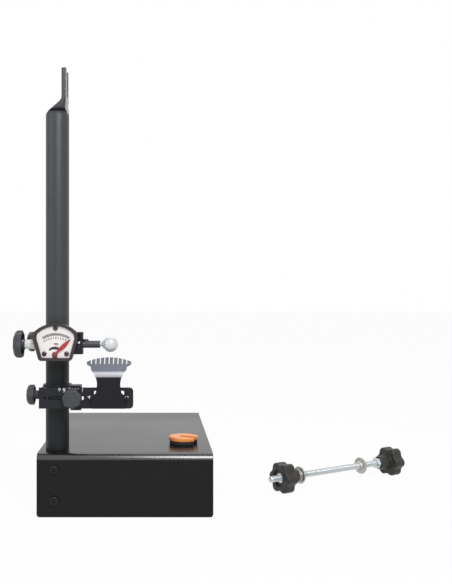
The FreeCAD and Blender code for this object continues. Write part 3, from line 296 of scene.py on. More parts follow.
# Painted shade: a band at the crimp's fold is painted near black with almost no sheen.
into_fold = ramp(post_paint, place, "Z", fold_low, fold_low + 0.6)
out_of_fold = ramp(post_paint, place, "Z", fold_high - 3, fold_high, 1.0, 0.0)
fold = add_node(post_paint, "ShaderNodeMath", (("operation", "MULTIPLY"),),
                ((0, into_fold, "Result"), (1, out_of_fold, "Result")))
tone = add_node(post_paint, "ShaderNodeMix", (("data_type", "RGBA"), (7, linear("0E1012"))),
                ((0, fold, 0), (6, tone, 2)))
sheen = add_node(post_paint, "ShaderNodeMix", ((3, 0.05),), ((0, fold, 0), (2, sheen, "Result")))
coat(post_paint, (("IOR", 1.5), ("Roughness", 0.4)),
     tone, links=(("Specular IOR Level", sheen, 0),), ripple=ripple)

# Painted light: the flattened top's right face is painted a chalky, matt beige grey with darker flecks, where
# light falls on it.
pale_lit_coat = plain_finish("powder coat painted pale where light falls", 5, 5.0, "918F88", "B9B7AF",
                         (("IOR", 1.5), ("Roughness", 0.5)))

post = dressed("post", "post_tube", "stand", post_paint)
post.data.materials.append(pale_lit_coat)
# Faces turned to +X on the flattened top take the pale painted light.
for face in post.data.polygons:
    if face.normal.x > 0.9 and face.center.z > lit_face_above * MM:
        face.material_index = 1
ease_edges(post, 0.5)

# Bolts, spacers and nuts
# Two black button head screws go through the front wall, a spacer, the tube and a nut.
# The screws are blackened steel; spacers and nuts inside the base are zinc plated.

# Black oxide: a dark brownish metal whose edges glint.
black_steel = plain_finish("black oxide on machined steel", 3, 4.0, "1B1B1E", "2B2A2E",
                           (("Metallic", 0.5), ("Specular IOR Level", 0.25)), gloss=(0.3, 0.48))

# Bright zinc plate: pale bluish metal with a slightly uneven gloss.
zinc_steel = plain_finish("bright zinc plate on steel", 2.5, 5.0, "B4BABD", "D3D8DA",
                          (("Metallic", 1.0),), gloss=(0.22, 0.4))

dressed("post_bolts", "button_head_bolts", "stand", black_steel, 0.15)
dressed("post_spacers", "spacer_sleeves", "stand", zinc_steel, 0.25)
dressed("post_nuts", "bolt_nuts", "stand", zinc_steel, 0.3)

# Sleeves
# Two flanged bushes of black acetal that slide on the post and carry the two heads.
# They are turned from bar, so they have a soft sheen and fine rings round them.
post_y = (reach("post")[0].y + reach("post")[1].y) / 2
sleeve_bore = 13.65
sleeve_bush = 15.05
sleeve_flange = 16.8
flange_height = 2.0


def turned(profile, steps=72):
    """A profile of (radius, height) points spun round Z; a ring repeats its first point."""
    shape = bmesh.new()
    points = [shape.verts.new((radius, 0, height)) for radius, height in profile]
    lines = [shape.edges.new(pair) for pair in zip(points, points[1:])]
    bmesh.ops.spin(shape, geom=points + lines, cent=(0, 0, 0), axis=(0, 0, 1), angle=2 * math.pi,
                   steps=steps, use_merge=True, use_duplicate=False)
    bmesh.ops.remove_doubles(shape, verts=shape.verts, dist=0.001)
    faced(shape)
    return shape


def aimed(shape, start, way):
    """Moves a piece made along +Z to a start point and turns it along a direction."""
    turn = Vector((0, 0, 1)).rotation_difference(Vector(way)).to_matrix().to_4x4()
    bmesh.ops.transform(shape, matrix=Matrix.Translation(Vector(start)) @ turn, verts=shape.verts)
    return shape


def bush(bottom, top, flange_bottom):
    """A sleeve's profile spun round the post."""
    flange_top = flange_bottom + flange_height
    edge = 0.3
    outside = [(sleeve_flange - edge, flange_bottom), (sleeve_flange, flange_bottom + edge),
               (sleeve_flange, flange_top - edge), (sleeve_flange - edge, flange_top)]
    if flange_bottom > bottom:
        outside = [(sleeve_bush, bottom), (sleeve_bush, flange_bottom)] + outside
    else:
        outside += [(sleeve_bush, flange_top), (sleeve_bush, top - edge), (sleeve_bush - edge, top)]
    profile = [(sleeve_bore, bottom)] + outside + [(sleeve_bore, top), (sleeve_bore, bottom)]
    return aimed(turned(profile, 96), (0, post_y, 0), (0, 0, 1))


# Turned black acetal: a soft waxy sheen, with rings from the tool.
acetal, place = new_finish("black acetal turned from bar")
rings = add_node(acetal, "ShaderNodeTexWave",
                 (("bands_direction", "Z"), ("Scale", per_mm(8)), ("Distortion", 0.6)),
                 (("Vector", place, "Object"),))
ripple = bumps(acetal, 0.25, 0.03, rings)
tone = blend(acetal, "1E2022", "27292C", rings)
coat(acetal, (("IOR", 1.48), ("Roughness", 0.42), ("Specular IOR Level", 0.25)), tone, ripple=ripple)

low, high = reach("gauge_sleeve")
set_in_place(bush(low.z, high.z, low.z), "gauge_bush", "gauge_sleeve", acetal,
             ("gauge_sleeve",))
low, high = reach("lower_sleeve")
set_in_place(bush(low.z, high.z, high.z - flange_height), "lower_bush", "lower_sleeve",
             acetal, ("lower_sleeve",))

# Gauge head and rail head
# Two machined blocks of black anodised aluminium that turn round the sleeves.
# Cutter marks stay faintly visible under the anodising, and the edges are broken.

# Black anodised aluminium: deep black with a faint violet cast, brighter along broken edges.
black_alloy, place = new_finish("black anodised aluminium")
squeeze = add_node(black_alloy, "ShaderNodeMapping", (("Scale", (0.12, 1.0, 1.0)),),
                   (("Vector", place, "Object"),))
marks = noise(black_alloy, squeeze, 1.2, 4.0, "Vector")
tone = blend(black_alloy, "202126", "2C2D33", marks)
gloss = span(black_alloy, 0.36, 0.5, marks)
ripple = bumps(black_alloy, 0.3, 0.03, marks)
coat(black_alloy, (("Metallic", 0.3), ("Specular IOR Level", 0.2)), tone, gloss=gloss, ripple=ripple)

for node, name in (("gauge_head", "gauge_block"), ("rail_head", "rail_block")):
    dressed(node, name, node, black_alloy, 0.6)

# Clamp knobs and studs
# Three knobs of glass filled nylon: two clamp the carriages on the post, one locks the rail.
# The moulding has shallow lobes, eased edges and a fine spark grain; the studs are steel.
clamp_lobes = 8
clamp_lobe = 0.34
clamp_valley = 0.8
clamp_edge = 4.5
clamp_dome = 6.0
knob_rim = 0.7
knob_dish = 0.5
knob_wall = 2.2
knob_hollow = 3.5
clamp_hub = 5.15


def lobed(diameter, lobes, lobe_share, valley_share, height, edge, dome, far_edge):
    """A knob along +Z: round lobes joined by hollow valleys, domed at its start."""
    radius = diameter / 2
    lobe = radius * lobe_share
    valley = radius * valley_share
    ring = radius - lobe
    half = math.pi / lobes
    far = ring * math.cos(half) + math.sqrt((lobe + valley) ** 2 - (ring * math.sin(half)) ** 2)
    join_x = ring + (far * math.cos(half) - ring) * lobe / (lobe + valley)
    join_y = far * math.sin(half) * lobe / (lobe + valley)
    join = math.atan2(join_y, join_x)
    shape = bmesh.new()
    bmesh.ops.create_circle(shape, cap_ends=True, radius=radius, segments=lobes * 16)
    for vert in shape.verts:
        turn = math.atan2(vert.co.y, vert.co.x)
        aside = abs((turn + half) % (2 * half) - half)
        if aside < join:
            distance = ring * math.cos(aside) + math.sqrt(lobe ** 2 - (ring * math.sin(aside)) ** 2)
        else:
            back = half - aside
            distance = far * math.cos(back) - math.sqrt(valley ** 2 - (far * math.sin(back)) ** 2)
        vert.co *= distance / radius * (radius - dome) / radius
    quarter = [math.radians(18 * step) for step in range(6)]
    rings = [(radius - dome * (1 - math.sin(turn)), edge * (1 - math.cos(turn))) for turn in quarter]
    rings += [(radius - far_edge * (1 - math.cos(turn)), height - far_edge * (1 - math.sin(turn)))
              for turn in quarter]
    edges = shape.edges[:]
    for (before, _), (after, z) in zip(rings, rings[1:]):
        points, edges = extruded(shape, edges)
        for vert in points:
            vert.co = (vert.co.x * after / before, vert.co.y * after / before, z)
    bmesh.ops.edgeloop_fill(shape, edges=edges)
    faced(shape)
    return shape


def pull_ring(shape, ring, radius, height):
    """Extrudes a round of edges and sets the new one at a radius and a height."""
    points, edges = extruded(shape, ring)
    for vert in points:
        turn = math.atan2(vert.co.y, vert.co.x)
        vert.co = (radius * math.cos(turn), radius * math.sin(turn), height)
    return edges


def hollowed(shape, height, steps):
    """Opens a knob's far end and sinks it round a hub, through the given radii and heights."""
    mouth = [face for face in shape.faces
             if len(face.verts) > 20 and face.calc_center_median().z > height - 0.1]
    ring = list(mouth[0].edges)
    bmesh.ops.delete(shape, geom=mouth, context="FACES_ONLY")
    for radius, z in steps:
        ring = pull_ring(shape, ring, radius, z)
    faced(shape)
    return shape


def dish(shape, z, thickness, depth):
    """Sinks the end face at one height, leaving a rim."""
    ends = [face for face in shape.faces
            if len(face.verts) > 20 and abs(face.calc_center_median().z - z) < 0.1]
    bmesh.ops.inset_region(shape, faces=ends, thickness=thickness, depth=0, use_even_offset=True)
    bmesh.ops.inset_region(shape, faces=ends, thickness=depth, depth=-depth, use_even_offset=True)
    return shape


def together(*shells):
    """One bmesh that holds several shells."""
    whole = bmesh.new()
    for shell in shells:
        mesh = bpy.data.meshes.new("shell")
        shell.to_mesh(mesh)
        shell.free()
        whole.from_mesh(mesh)
        bpy.data.meshes.remove(mesh)
    return whole


def plain_bar(radius, length, edge):
    """A round bar from the origin along +Z with both ends' edges broken."""
    return turned([(0, 0), (radius - edge, 0), (radius, edge), (radius, length - edge),
                   (radius - edge, length), (0, length)])


# Glass filled nylon: dark grey with a dry grain; its rounded edges catch a lighter line.
nylon, place = new_finish("glass filled nylon, spark grained")
grain = noise(nylon, place, 0.9, 4.0)
flow = noise(nylon, place, 9, 2.0)
tone = blend(nylon, "35363A", "45464B", flow)
gloss = span(nylon, 0.46, 0.6, flow)
ripple = bumps(nylon, 0.45, 0.05, grain)
coat(nylon, (("IOR", 1.5), ("Specular IOR Level", 0.35)), tone, gloss=gloss, ripple=ripple)

clamps = (
    ("gauge_clamp_knob", "gauge_clamp_stud", "gauge_clamp", 23.0, 8.0),
    ("lower_clamp_knob", "lower_clamp_stud", "lower_clamp", 23.6, 8.9),
)
for node, stud, body, diameter, height in clamps:
    low, high = reach(node)
    middle = (low + high) / 2
    knob = lobed(diameter, clamp_lobes, clamp_lobe, clamp_valley, height, clamp_edge, clamp_dome, knob_rim)
    knob = dish(knob, 0, 1.4, knob_dish)
    length = high.x - low.x
    mouth = diameter / 2 - knob_wall
    knob = hollowed(knob, height, ((mouth, height), (mouth - 0.3, height - knob_hollow),
                                   (clamp_hub, height - knob_hollow), (clamp_hub, length - 0.5),
                                   (clamp_hub - 0.5, length), (2.0, length)))
    knob = aimed(knob, (low.x, middle.y, middle.z), (1, 0, 0))
    set_in_place(knob, node + "_moulding", body, nylon, (node,))
    dressed(stud, stud + "_bar", body, black_steel)

low, high = reach("rail_lock_knob")
lock_diameter = 22.4
lock_lobes = 7
lock_lobe = 0.26
lock_valley = 4.0
lock_height = 9.5
lock_edge = 2.2
lock_dome = 2.6
lock_hub = 6.0
lock_turn = -16.9
middle = (low + high) / 2
knob = lobed(lock_diameter, lock_lobes, lock_lobe, lock_valley, lock_height, lock_edge, lock_dome, knob_rim)
knob = dish(knob, 0, 1.2, 0.3)
spun(knob, lock_turn, "Z")
hub = plain_bar(lock_hub, high.y - low.y - lock_height + 1, 0.4)
moved(hub, (0, 0, lock_height - 1))
whole = aimed(together(knob, hub), (middle.x, low.y, middle.z), (0, 1, 0))
set_in_place(whole, "rail_lock_moulding", "rail_lock", nylon, ("rail_lock_knob",))
dressed("rail_lock_stud", "rail_lock_bar", "rail_lock", black_steel)

# Dial housing
# A shield shaped tray moulded in dark grey ABS, with a raised frame round the face.
# It is screwed to the front of the gauge head and has a soft, slightly glossy skin.

# Moulded ABS: warm dark grey with a soft gloss on the raised frame.
frame_plastic = plain_finish("dark grey moulded ABS", 1.1, 3.0, "2A2829", "363335",
                             (("IOR", 1.54), ("Roughness", 0.36), ("Specular IOR Level", 0.35)),
                             ripple=(0.3, 0.04))

# The tray's side walls stand this much further out than the CAD's, so that its frame looks as wide.
tray_left = 0.8
tray_right = 0.5
low, high = reach("dial_housing")
middle = (low + high) / 2
tray = solid_copy("dial_housing")
tray.normal_update()
outer = {vert for face in tray.faces if abs(face.normal.y) < 0.5
         and face.normal.dot(face.calc_center_median() - middle) > 1 for vert in face.verts}
for vert in outer:
    aside = (vert.co.x - middle.x) / (high.x - middle.x)
    vert.co.x += aside * (tray_left if aside < 0 else tray_right)
tray = set_in_place(tray, "dial_tray", "gauge_head", frame_plastic, ("dial_housing",),
                    crease=30)
ease_edges(tray, 0.55)

# Dial face
# A thin aluminium plate, stove enamelled white and held by three rivets in the tray.
# The crescent slot lets the pin that swings the needle through.

# Stove enamel: a warm white with an even, low gloss.
enamel = plain_finish("white stove enamel on aluminium", 12, 3.0, "DAD6D4", "E8E5E3",
                      (("IOR", 1.5),), gloss=(0.3, 0.42))

slot_inner = 6.85
slot_outer = 9.35
end_inner = 7.2
lens_outer = 9.05
lens_swell = 1.5
low, high = reach("needle_pivot")
pivot_x = (low.x + high.x) / 2
pivot_z = (low.z + high.z) / 2
plate = solid_copy("dial_face")
for vert in plate.verts:
    aside = vert.co.x - pivot_x
    above = vert.co.z - pivot_z
    distance = math.hypot(aside, above)
    turn = math.atan2(aside, above)
    if slot_inner - 0.1 < distance < slot_outer + 0.1 and abs(turn) < 1.1:
        share = (distance - slot_inner) / (slot_outer - slot_inner)
        inner = end_inner - lens_swell * max(0, math.cos(1.55 * (turn - 0.14)))
        distance = inner + share * (lens_outer - inner)
        vert.co.x = pivot_x + distance * math.sin(turn * 0.97)
        vert.co.z = pivot_z + distance * math.cos(turn * 0.97)
plate.normal_update()
flats = [face for face in plate.faces if abs(face.normal.y) > 0.9]
bmesh.ops.delete(plate, geom=flats, context="FACES_ONLY")
bmesh.ops.delete(plate, geom=[line for line in plate.edges if not line.link_faces], context="EDGES")
low, high = reach("dial_face")
for y, way in ((low.y, -1), (high.y, 1)):
    loops = [line for line in plate.edges if all(abs(vert.co.y - y) < 0.01 for vert in line.verts)]
    bmesh.ops.triangle_fill(plate, use_beauty=True, use_dissolve=True, edges=loops, normal=(0, way, 0))
faced(plate)
plate = set_in_place(plate, "dial_plate", "gauge_head", enamel, ("dial_face",))
ease_edges(plate, 0.12)

# The tray's rim slopes down on to the face all round, as a moulding's draft does.
rim_slope = 0.958
rim_top = 2.2
low, high = reach("dial_face")
middle = (low + high) / 2
rim = solid_copy("dial_face")
inside = [line for line in rim.edges if not line.is_manifold or line.calc_face_angle() < 0.5
          or any(vert.co.y > low.y + 0.1 for vert in line.verts)
          or all(Vector((vert.co.x - middle.x, vert.co.z - middle.z)).length < 14 for vert in line.verts)]
bmesh.ops.delete(rim, geom=inside, context="EDGES")
bmesh.ops.delete(rim, geom=[vert for vert in rim.verts if not vert.link_edges], context="VERTS")
ring = rim.edges[:]
first_ring = ring
for share, y in ((1.0, low.y - rim_top), (1.0, low.y - rim_top - 0.2), (rim_slope, low.y + 0.05)):
    points, ring = extruded(rim, ring)
    for vert in points:
        vert.co.y = y
        vert.co.x = middle.x + (vert.co.x - middle.x) * share
        vert.co.z = middle.z + (vert.co.z - middle.z) * share
bmesh.ops.bridge_loops(rim, edges=ring + first_ring)
faced(rim)
set_in_place(rim, "dial_rim_slope", "gauge_head", frame_plastic)

# Printed scale on the dial
# Fine graduations, numbers and the unit, screen printed on the enamel in grey and dull red.
# Each tenth of a millimetre has a tick, and each whole one a longer tick with its number.
ink_stand = 0.02
dial_centre_x = 2.3
dial_centre_z = 179.5
number_step = 6.6
tick_inner = 26.06
tick_outer = 29.05
tick_reach = 30.2
tick_width = 0.12
number_radius = 23.6
number_size = 3.1
unit_rise = 16.8
unit_size = 3.9
unit_squeeze = 0.8
unit_aside = 0.3


def stroke(width, length):
    """A flat printed line, upright in the XZ plane and facing the front."""
    shape = bmesh.new()
    bmesh.ops.create_grid(shape, x_segments=1, y_segments=1, size=0.5)
    bmesh.ops.scale(shape, vec=(width, length, 1), verts=shape.verts)
    spun(shape, 90, "X")
    return shape


def word(text, size):
    """Flat printed lettering, centred, upright in the XZ plane and facing the front."""
    curve = bpy.data.curves.new("word", "FONT")
    curve.body = text
    curve.size = size
    curve.offset = size * 0.045
    curve.align_x = "CENTER"
    curve.align_y = "CENTER"
    holder = bpy.data.objects.new("word", curve)
    link(holder)
    bpy.context.view_layer.update()
    mesh = bpy.data.meshes.new_from_object(holder.evaluated_get(bpy.context.evaluated_depsgraph_get()))
    shape = bmesh.new()
    shape.from_mesh(mesh)
    bpy.data.objects.remove(holder)
    bpy.data.curves.remove(curve)
    bpy.data.meshes.remove(mesh)
    spun(shape, 90, "X")
    return shape


def on_arc(shape, radius, degrees):
    """Moves a printed mark from the origin to a place on the dial's scale."""
    turn = math.radians(degrees)
    x = dial_centre_x + radius * math.sin(turn)
    z = dial_centre_z + radius * math.cos(turn)
    move = Matrix.Translation((x, print_y, z)) @ Matrix.Rotation(turn, 4, "Y")
    bmesh.ops.transform(shape, matrix=move, verts=shape.verts)
    return shape


# Screen printing ink: dark, matt and a little thin, so the white shows through it.
grey_ink = plain_finish("dark grey screen printing ink", 1.5, 2.0, "2A2A2C", "404042", (("Roughness", 0.6),))

# The same kind of ink in a dull red, for the zero and the unit.
red_ink = plain_finish("dull red screen printing ink", 1.5, 2.0, "451F28", "5C303A", (("Roughness", 0.6),))

# The same grey thinned with white: a pale tint laid under the graduations.
tint_ink = plain_finish("pale grey screen printing tint", 1.5, 2.0, "A3A19F", "AEACAA", (("Roughness", 0.6),))

print_y = reach("dial_face")[0].y - ink_stand
tint = bmesh.new()
bmesh.ops.create_grid(tint, x_segments=80, y_segments=1, size=1)
for vert in tint.verts:
    turn = math.radians(vert.co.x * 5 * number_step)
    distance = tick_inner + (tick_outer - tick_inner) * (vert.co.y + 1) / 2
    vert.co = (dial_centre_x + distance * math.sin(turn), print_y + ink_stand / 2,
               dial_centre_z + distance * math.cos(turn))
set_in_place(tint, "dial_tint", "gauge_head", tint_ink)
marks = []
for tenth in range(-50, 51):
    whole_number = tenth % 10 == 0
    end = tick_reach if whole_number else tick_outer
    tick = stroke(tick_width, end - tick_inner)
    marks.append(on_arc(tick, (tick_inner + end) / 2, tenth * number_step / 10))
for number in (-5, -4, -3, -2, -1, 1, 2, 3, 4, 5):
    marks.append(on_arc(word(str(abs(number)), number_size), number_radius, number * number_step))
set_in_place(together(*marks), "dial_printing", "gauge_head", grey_ink)
unit = word("mm", unit_size)
bmesh.ops.scale(unit, vec=(unit_squeeze, 1, 1), verts=unit.verts)
moved(unit, (unit_aside, 0, 0))
red_marks = (on_arc(word("0", number_size), number_radius, 0), on_arc(unit, unit_rise, 0))
set_in_place(together(*red_marks), "dial_red_printing", "gauge_head", red_ink)

# Rivets on the dial and the needle's pivot
# Round headed browned steel rivets, dimpled by the punch, hold the face down.
# The pivot is a shouldered pin whose head keeps the needle on, lacquered with it.

# Browned steel: a dark warm metal, duller in the dimples.
browned_steel = plain_finish("browned steel", 1.2, 4.0, "54494A", "6A5E60",
                             (("Metallic", 0.5), ("Roughness", 0.42), ("Specular IOR Level", 0.3)))

# Worn dark red lacquer: the needle's red, dulled where fingers and the pin rub it.
dull_red = plain_finish("worn dark red lacquer", 1.5, 4.0, "5F3335", "84494A", (("Roughness", 0.5),))

rivet_radius = 2.65
rivet_rim = 2.95
rivet_rise = 0.9
low, high = reach("dial_rivets")
face_y = reach("dial_face")[0].y
heads = []
top_z = high.z - rivet_radius
foot_z = low.z + rivet_radius
places = (((low.x + high.x) / 2, top_z), (low.x + rivet_radius, foot_z), (high.x - rivet_radius, foot_z))
for x, z in places:
    head = turned([(0, rivet_rise - 0.25), (0.7, rivet_rise - 0.2), (1.0, rivet_rise),
                   (1.7, rivet_rise - 0.05), (2.4, rivet_rise - 0.3), (2.75, rivet_rise - 0.62),
                   (rivet_rim, 0), (0, 0)], 48)
    heads.append(aimed(head, (x, face_y, z), (0, -1, 0)))
set_in_place(together(*heads), "rivet_heads", "gauge_head", browned_steel, ("dial_rivets",))

low, high = reach("needle_pivot")
pivot_radius = (high.x - low.x) / 2
pivot = turned([(0, 0.1), (0.8, 0.1), (1.0, 0), (pivot_radius - 0.3, 0), (pivot_radius, 0.3),
                (pivot_radius, 0.7), (1.2, 0.7), (1.2, high.y - low.y), (0, high.y - low.y)], 48)
set_in_place(aimed(pivot, (pivot_x, low.y, pivot_z), (0, 1, 0)), "pivot_pin", "gauge_head",
             dull_red, ("needle_pivot",))

# Needle
# A leaf shaped pointer stamped from thin sheet, with a raised rib, lacquered red.
# Its hub, tail and driving pin are a darker red, dulled by rubbing.
needle_turn = 46.0
needle_length = 24.3
needle_half = 2.4
needle_rib = 0.28
needle_hub = 3.15
leaf_along = (0.0, 0.2, 0.33, 0.46, 0.6, 0.76, 0.9, 1.0)
leaf_width = (0.6, 0.6, 0.74, 0.95, 1.0, 0.78, 0.38, 0.2)

# Bright red lacquer: clear signal red with a soft gloss on the rib.
red_lacquer = plain_finish("bright red lacquer on steel sheet", 4, 3.0, "98262D", "AE353C",
                           (("IOR", 1.5), ("Roughness", 0.35)))

needle_low, needle_high = reach("needle")
needle_sheet = 0.5
leaf = bmesh.new()
rows = len(leaf_along) - 1
bmesh.ops.create_grid(leaf, x_segments=2, y_segments=rows, size=1)
for vert in leaf.verts:
    row = round((vert.co.y + 1) / 2 * rows)
    side = vert.co.x
    vert.co = (side * needle_half * leaf_width[row], -needle_rib * (1 - abs(side)),
               needle_length * leaf_along[row])
back = bmesh.ops.extrude_face_region(leaf, geom=leaf.faces[:])["geom"]
for vert in [item for item in back if item in leaf.verts]:
    vert.co.y = needle_sheet
faced(leaf)
swing = (Matrix.Translation((pivot_x, needle_low.y, pivot_z))
         @ Matrix.Rotation(math.radians(needle_turn), 4, "Y"))
bmesh.ops.transform(leaf, matrix=swing, verts=leaf.verts)
set_in_place(leaf, "needle_leaf", "needle", red_lacquer, ("needle",), crease=12)

needle_bore = 1.35
hub = turned([(needle_bore, 0), (needle_hub - 0.2, 0), (needle_hub, 0.15), (needle_hub, needle_sheet),
              (needle_bore, needle_sheet), (needle_bore, 0)], 48)
hub = aimed(hub, (pivot_x, needle_low.y, pivot_z), (0, 1, 0))
tail = bmesh.new()
bmesh.ops.create_cube(tail, size=1)
tail_width = 5.4
tail_top = 1.5
tail_drop = 4.0
bmesh.ops.scale(tail, vec=(tail_width, needle_sheet, tail_drop - tail_top), verts=tail.verts)
moved(tail, (pivot_x, needle_low.y + needle_sheet / 2, pivot_z - (tail_top + tail_drop) / 2))
rounded(tail, tail.edges[:], 0.12, 2)
pin_radius = 0.8
pin_ring = 8.1
pin = plain_bar(pin_radius, needle_high.y - needle_low.y, 0.1)
turn = math.radians(needle_turn)
pin_start = (pivot_x + pin_ring * math.sin(turn), needle_low.y, pivot_z + pin_ring * math.cos(turn))
pin = aimed(pin, pin_start, (0, 1, 0))
set_in_place(together(hub, tail, pin), "needle_hub", "needle", dull_red)

# Plunger, its dog and the rod's pinch screw
# A blackened steel tube slides in the gauge head and carries the rod inside it.
# The dog behind the dial swings the needle, and a small screw pinches the rod.

# Blackened ground steel: dark grey with a soft bright line along the tube.
dark_tube = plain_finish("blackened ground steel", 2, 4.0, "3F3E43", "504F55",
                         (("Metallic", 0.6), ("Roughness", 0.34), ("Specular IOR Level", 0.4)))

dressed("plunger", "plunger_tube", "plunger", dark_tube, 0.3)
dressed("drive_dog", "plunger_dog", "plunger", black_steel, 0.2)
dressed("rod_screw", "pinch_screw", "plunger", dark_tube, 0.1)

# Feeler rod, ball and collar
# A ground steel rod ends in a polished ball that touches the rim, and in a pale collar.
# The ball has a satin chrome shine; the collar is natural coloured acetal.

# Satin chromed steel: nearly white, with soft broad reflections.
polished = plain_finish("satin chromed steel", 2, 4.0, "C6C9CB", "D5D8DA",
                        (("Metallic", 0.2),), gloss=(0.2, 0.3))

# Light goes this far into the pale collar and the orange disc, in metres.
light_depth = 0.002

# Natural acetal: milky, slightly greenish white that lets a little light in.
natural_acetal = plain_finish("natural white acetal", 5, 3.0, "D9DCD8", "E9ECE8",
                              (("IOR", 1.48), ("Roughness", 0.4), ("Subsurface Weight", 0.15),
                               ("Subsurface Scale", light_depth)))

dressed("feeler_rod", "ground_rod", "feeler", polished)
low, high = reach("feeler_ball")
ball_radius = (high.z - low.z) / 2
ball_x = high.x - ball_radius
rod_y = (low.y + high.y) / 2
rod_z = (low.z + high.z) / 2
ball = bmesh.new()
bmesh.ops.create_uvsphere(ball, u_segments=72, v_segments=48, radius=ball_radius)
neck_radius = 2.6
shoulder_start = 53.05
shoulder_end = 58.0
shoulder_radius = 7.0
neck_start = low.x - ball_x
neck = turned([(0, neck_start), (neck_radius - 0.3, neck_start), (neck_radius, neck_start + 0.3),
               (neck_radius, shoulder_start - ball_x), (shoulder_radius, shoulder_end - ball_x),
               (0, shoulder_end - ball_x)])
set_in_place(aimed(together(ball, neck), (ball_x, rod_y, rod_z), (1, 0, 0)), "ball_tip", "feeler",
             polished, ("feeler_ball",))

# Two small screw heads on the gauge head's front, the upper one enamelled white and the lower dark.
screw_x = 27.7
head_front = reach("gauge_head")[0].y
guide_screws = (
    (1.3, 197.3, "guide_screw", enamel),
    (0.95, 192.9, "lower_guide_screw", dark_tube),
)
for radius, z, name, cover in guide_screws:
    head = turned([(0, 0.8), (radius * 0.6, 0.75), (radius, 0.4), (radius, -0.2), (0, -0.2)], 32)
    set_in_place(aimed(head, (screw_x, head_front, z), (0, -1, 0)), name, "gauge_head",
                 cover)

low, high = reach("feeler_collar")
collar_radius = (high.z - low.z) / 2
collar_length = high.x - low.x
collar = turned([(2.0, 0), (collar_radius - 0.5, 0), (collar_radius, 0.5),
                 (collar_radius, collar_length - 0.5), (collar_radius - 0.5, collar_length),
                 (2.0, collar_length), (2.0, 0)])
set_in_place(aimed(collar, (low.x, rod_y, rod_z), (1, 0, 0)), "pale_collar", "feeler",
             natural_acetal, ("feeler_collar",))

# Feeler knob
# A large seven lobed knob on the rod's end, moulded hollow with a hub in its middle.
# It is the same grained nylon as the clamp knobs.
feeler_diameter = 32.0
feeler_lobes = 7
feeler_lobe = 0.42
feeler_valley = 0.9
feeler_height = 10.0
feeler_edge = 5.5
feeler_dome = 8.0
hollow_radius = 13.0
hollow_depth = 6.5
hub_radius = 5.8
hub_stand = 2.6

low, high = reach("feeler_knob")
knob = lobed(feeler_diameter, feeler_lobes, feeler_lobe, feeler_valley, feeler_height, feeler_edge,
             feeler_dome, knob_rim)
hub_end = feeler_height + hub_stand
knob = hollowed(dish(knob, 0, 2.0, knob_dish), feeler_height,
                ((hollow_radius, feeler_height), (hollow_radius - 0.3, feeler_height - hollow_depth),
                 (hub_radius, feeler_height - hollow_depth), (hub_radius, hub_end - 0.4),
                 (hub_radius - 0.4, hub_end), (2.0, hub_end)))
spun(knob, 180, "Z")
set_in_place(aimed(knob, (low.x, rod_y, rod_z), (1, 0, 0)), "feeler_moulding", "feeler",
             nylon, ("feeler_knob",))
grub_tilt = math.radians(42)
grub = turned([(0, -0.8), (0.55, -0.8), (0.55, 0.2), (1.1, 0.3), (1.3, 0.1), (1.3, -1.5), (0, -1.5)], 32)
grub_way = Vector((0, -math.cos(grub_tilt), math.sin(grub_tilt)))
grub_start = Vector((high.x - 1.6, rod_y, rod_z)) + grub_way * hub_radius
set_in_place(aimed(grub, grub_start, grub_way), "feeler_grub_screw", "feeler", zinc_steel)

# Rail
# A black anodised bar with a slot for the lock knob, a window and two lugs for the hinge.
# It slides across in the lower head to bring the comb to the rim.
dressed("rail", "slotted_rail", "rail", black_alloy, 0.35)

# Printed scale on the rail
# White numbers and graduations, screen printed along the rail's upper edge.
# A single line to their right is read against the head.

# White screen printing ink: thin and a little broken, so it reads as pale grey.
white_ink = plain_finish("white screen printing ink", 0.8, 3.0, "9A9A9C", "D8D8DA", (("Roughness", 0.6),))

rail_front = -1.1 - ink_stand
scale_top = 146.2
line_start = 15.6
line_pitch = 1.7
line_count = 8
line_width = 0.5
short_line = 1.0
long_line = 1.6
figure_size = 6.4
figure_z = 143.4
figures = ((5.9, "8"), (11.2, "9"))
index_x = 32.0
index_z = 143.9
index_width = 0.7
index_length = 4.6
marks = []
for x, figure in figures:
    mark = word(figure, figure_size)
    moved(mark, (x, rail_front, figure_z))
    marks.append(mark)
for line in range(line_count):
    length = long_line if line % 2 else short_line
    mark = stroke(line_width, length)
    moved(mark, (line_start + line_pitch * line, rail_front, scale_top - length / 2))
    marks.append(mark)
mark = stroke(index_width, index_length)
moved(mark, (index_x, rail_front, index_z))
marks.append(mark)
set_in_place(together(*marks), "rail_printing", "rail", white_ink)

# Comb plate
# A sheet steel feeler with nine slots across its fan, bent back over the rim.
# The fan is brushed bright and the shank below the bend is nearly black; a pale band just above the bend is a
# painted highlight.
comb_bend = 159.4
highlight_band_top = 165.4

# Brushed steel: grey with fine streaks across; the shank is matt and nearly black, and a pale, less metallic
# band above the bend is a painted highlight.
comb_steel, place = new_finish("brushed steel, blackened below the bend")
stretch = add_node(comb_steel, "ShaderNodeMapping", (("Scale", (1.0, 0.04, 0.04)),),
                   (("Vector", place, "Object"),))
brush = noise(comb_steel, stretch, 0.7, 4.0, "Vector")
bright = blend(comb_steel, "5B5E66", "676A73", brush)
above = ramp(comb_steel, place, "Z", comb_bend - 0.4, comb_bend + 0.4)
fan = ramp(comb_steel, place, "Z", highlight_band_top - 0.3, highlight_band_top + 0.3, 0.3)
# Painted highlight: from the bend up to the band's top the colour is pale and less metallic.
painted_band = add_node(comb_steel, "ShaderNodeMix", (("data_type", "RGBA"), (6, linear("B6B5BC"))),
                  ((0, fan, "Result"), (7, bright, 2)))
tone = add_node(comb_steel, "ShaderNodeMix", (("data_type", "RGBA"), (6, linear("1E1E22"))),
                ((0, above, "Result"), (7, painted_band, 2)))
gloss = span(comb_steel, 0.3, 0.45, brush)
coat(comb_steel, (("Specular IOR Level", 0.2),), tone, links=(("Metallic", fan, "Result"),), gloss=gloss)

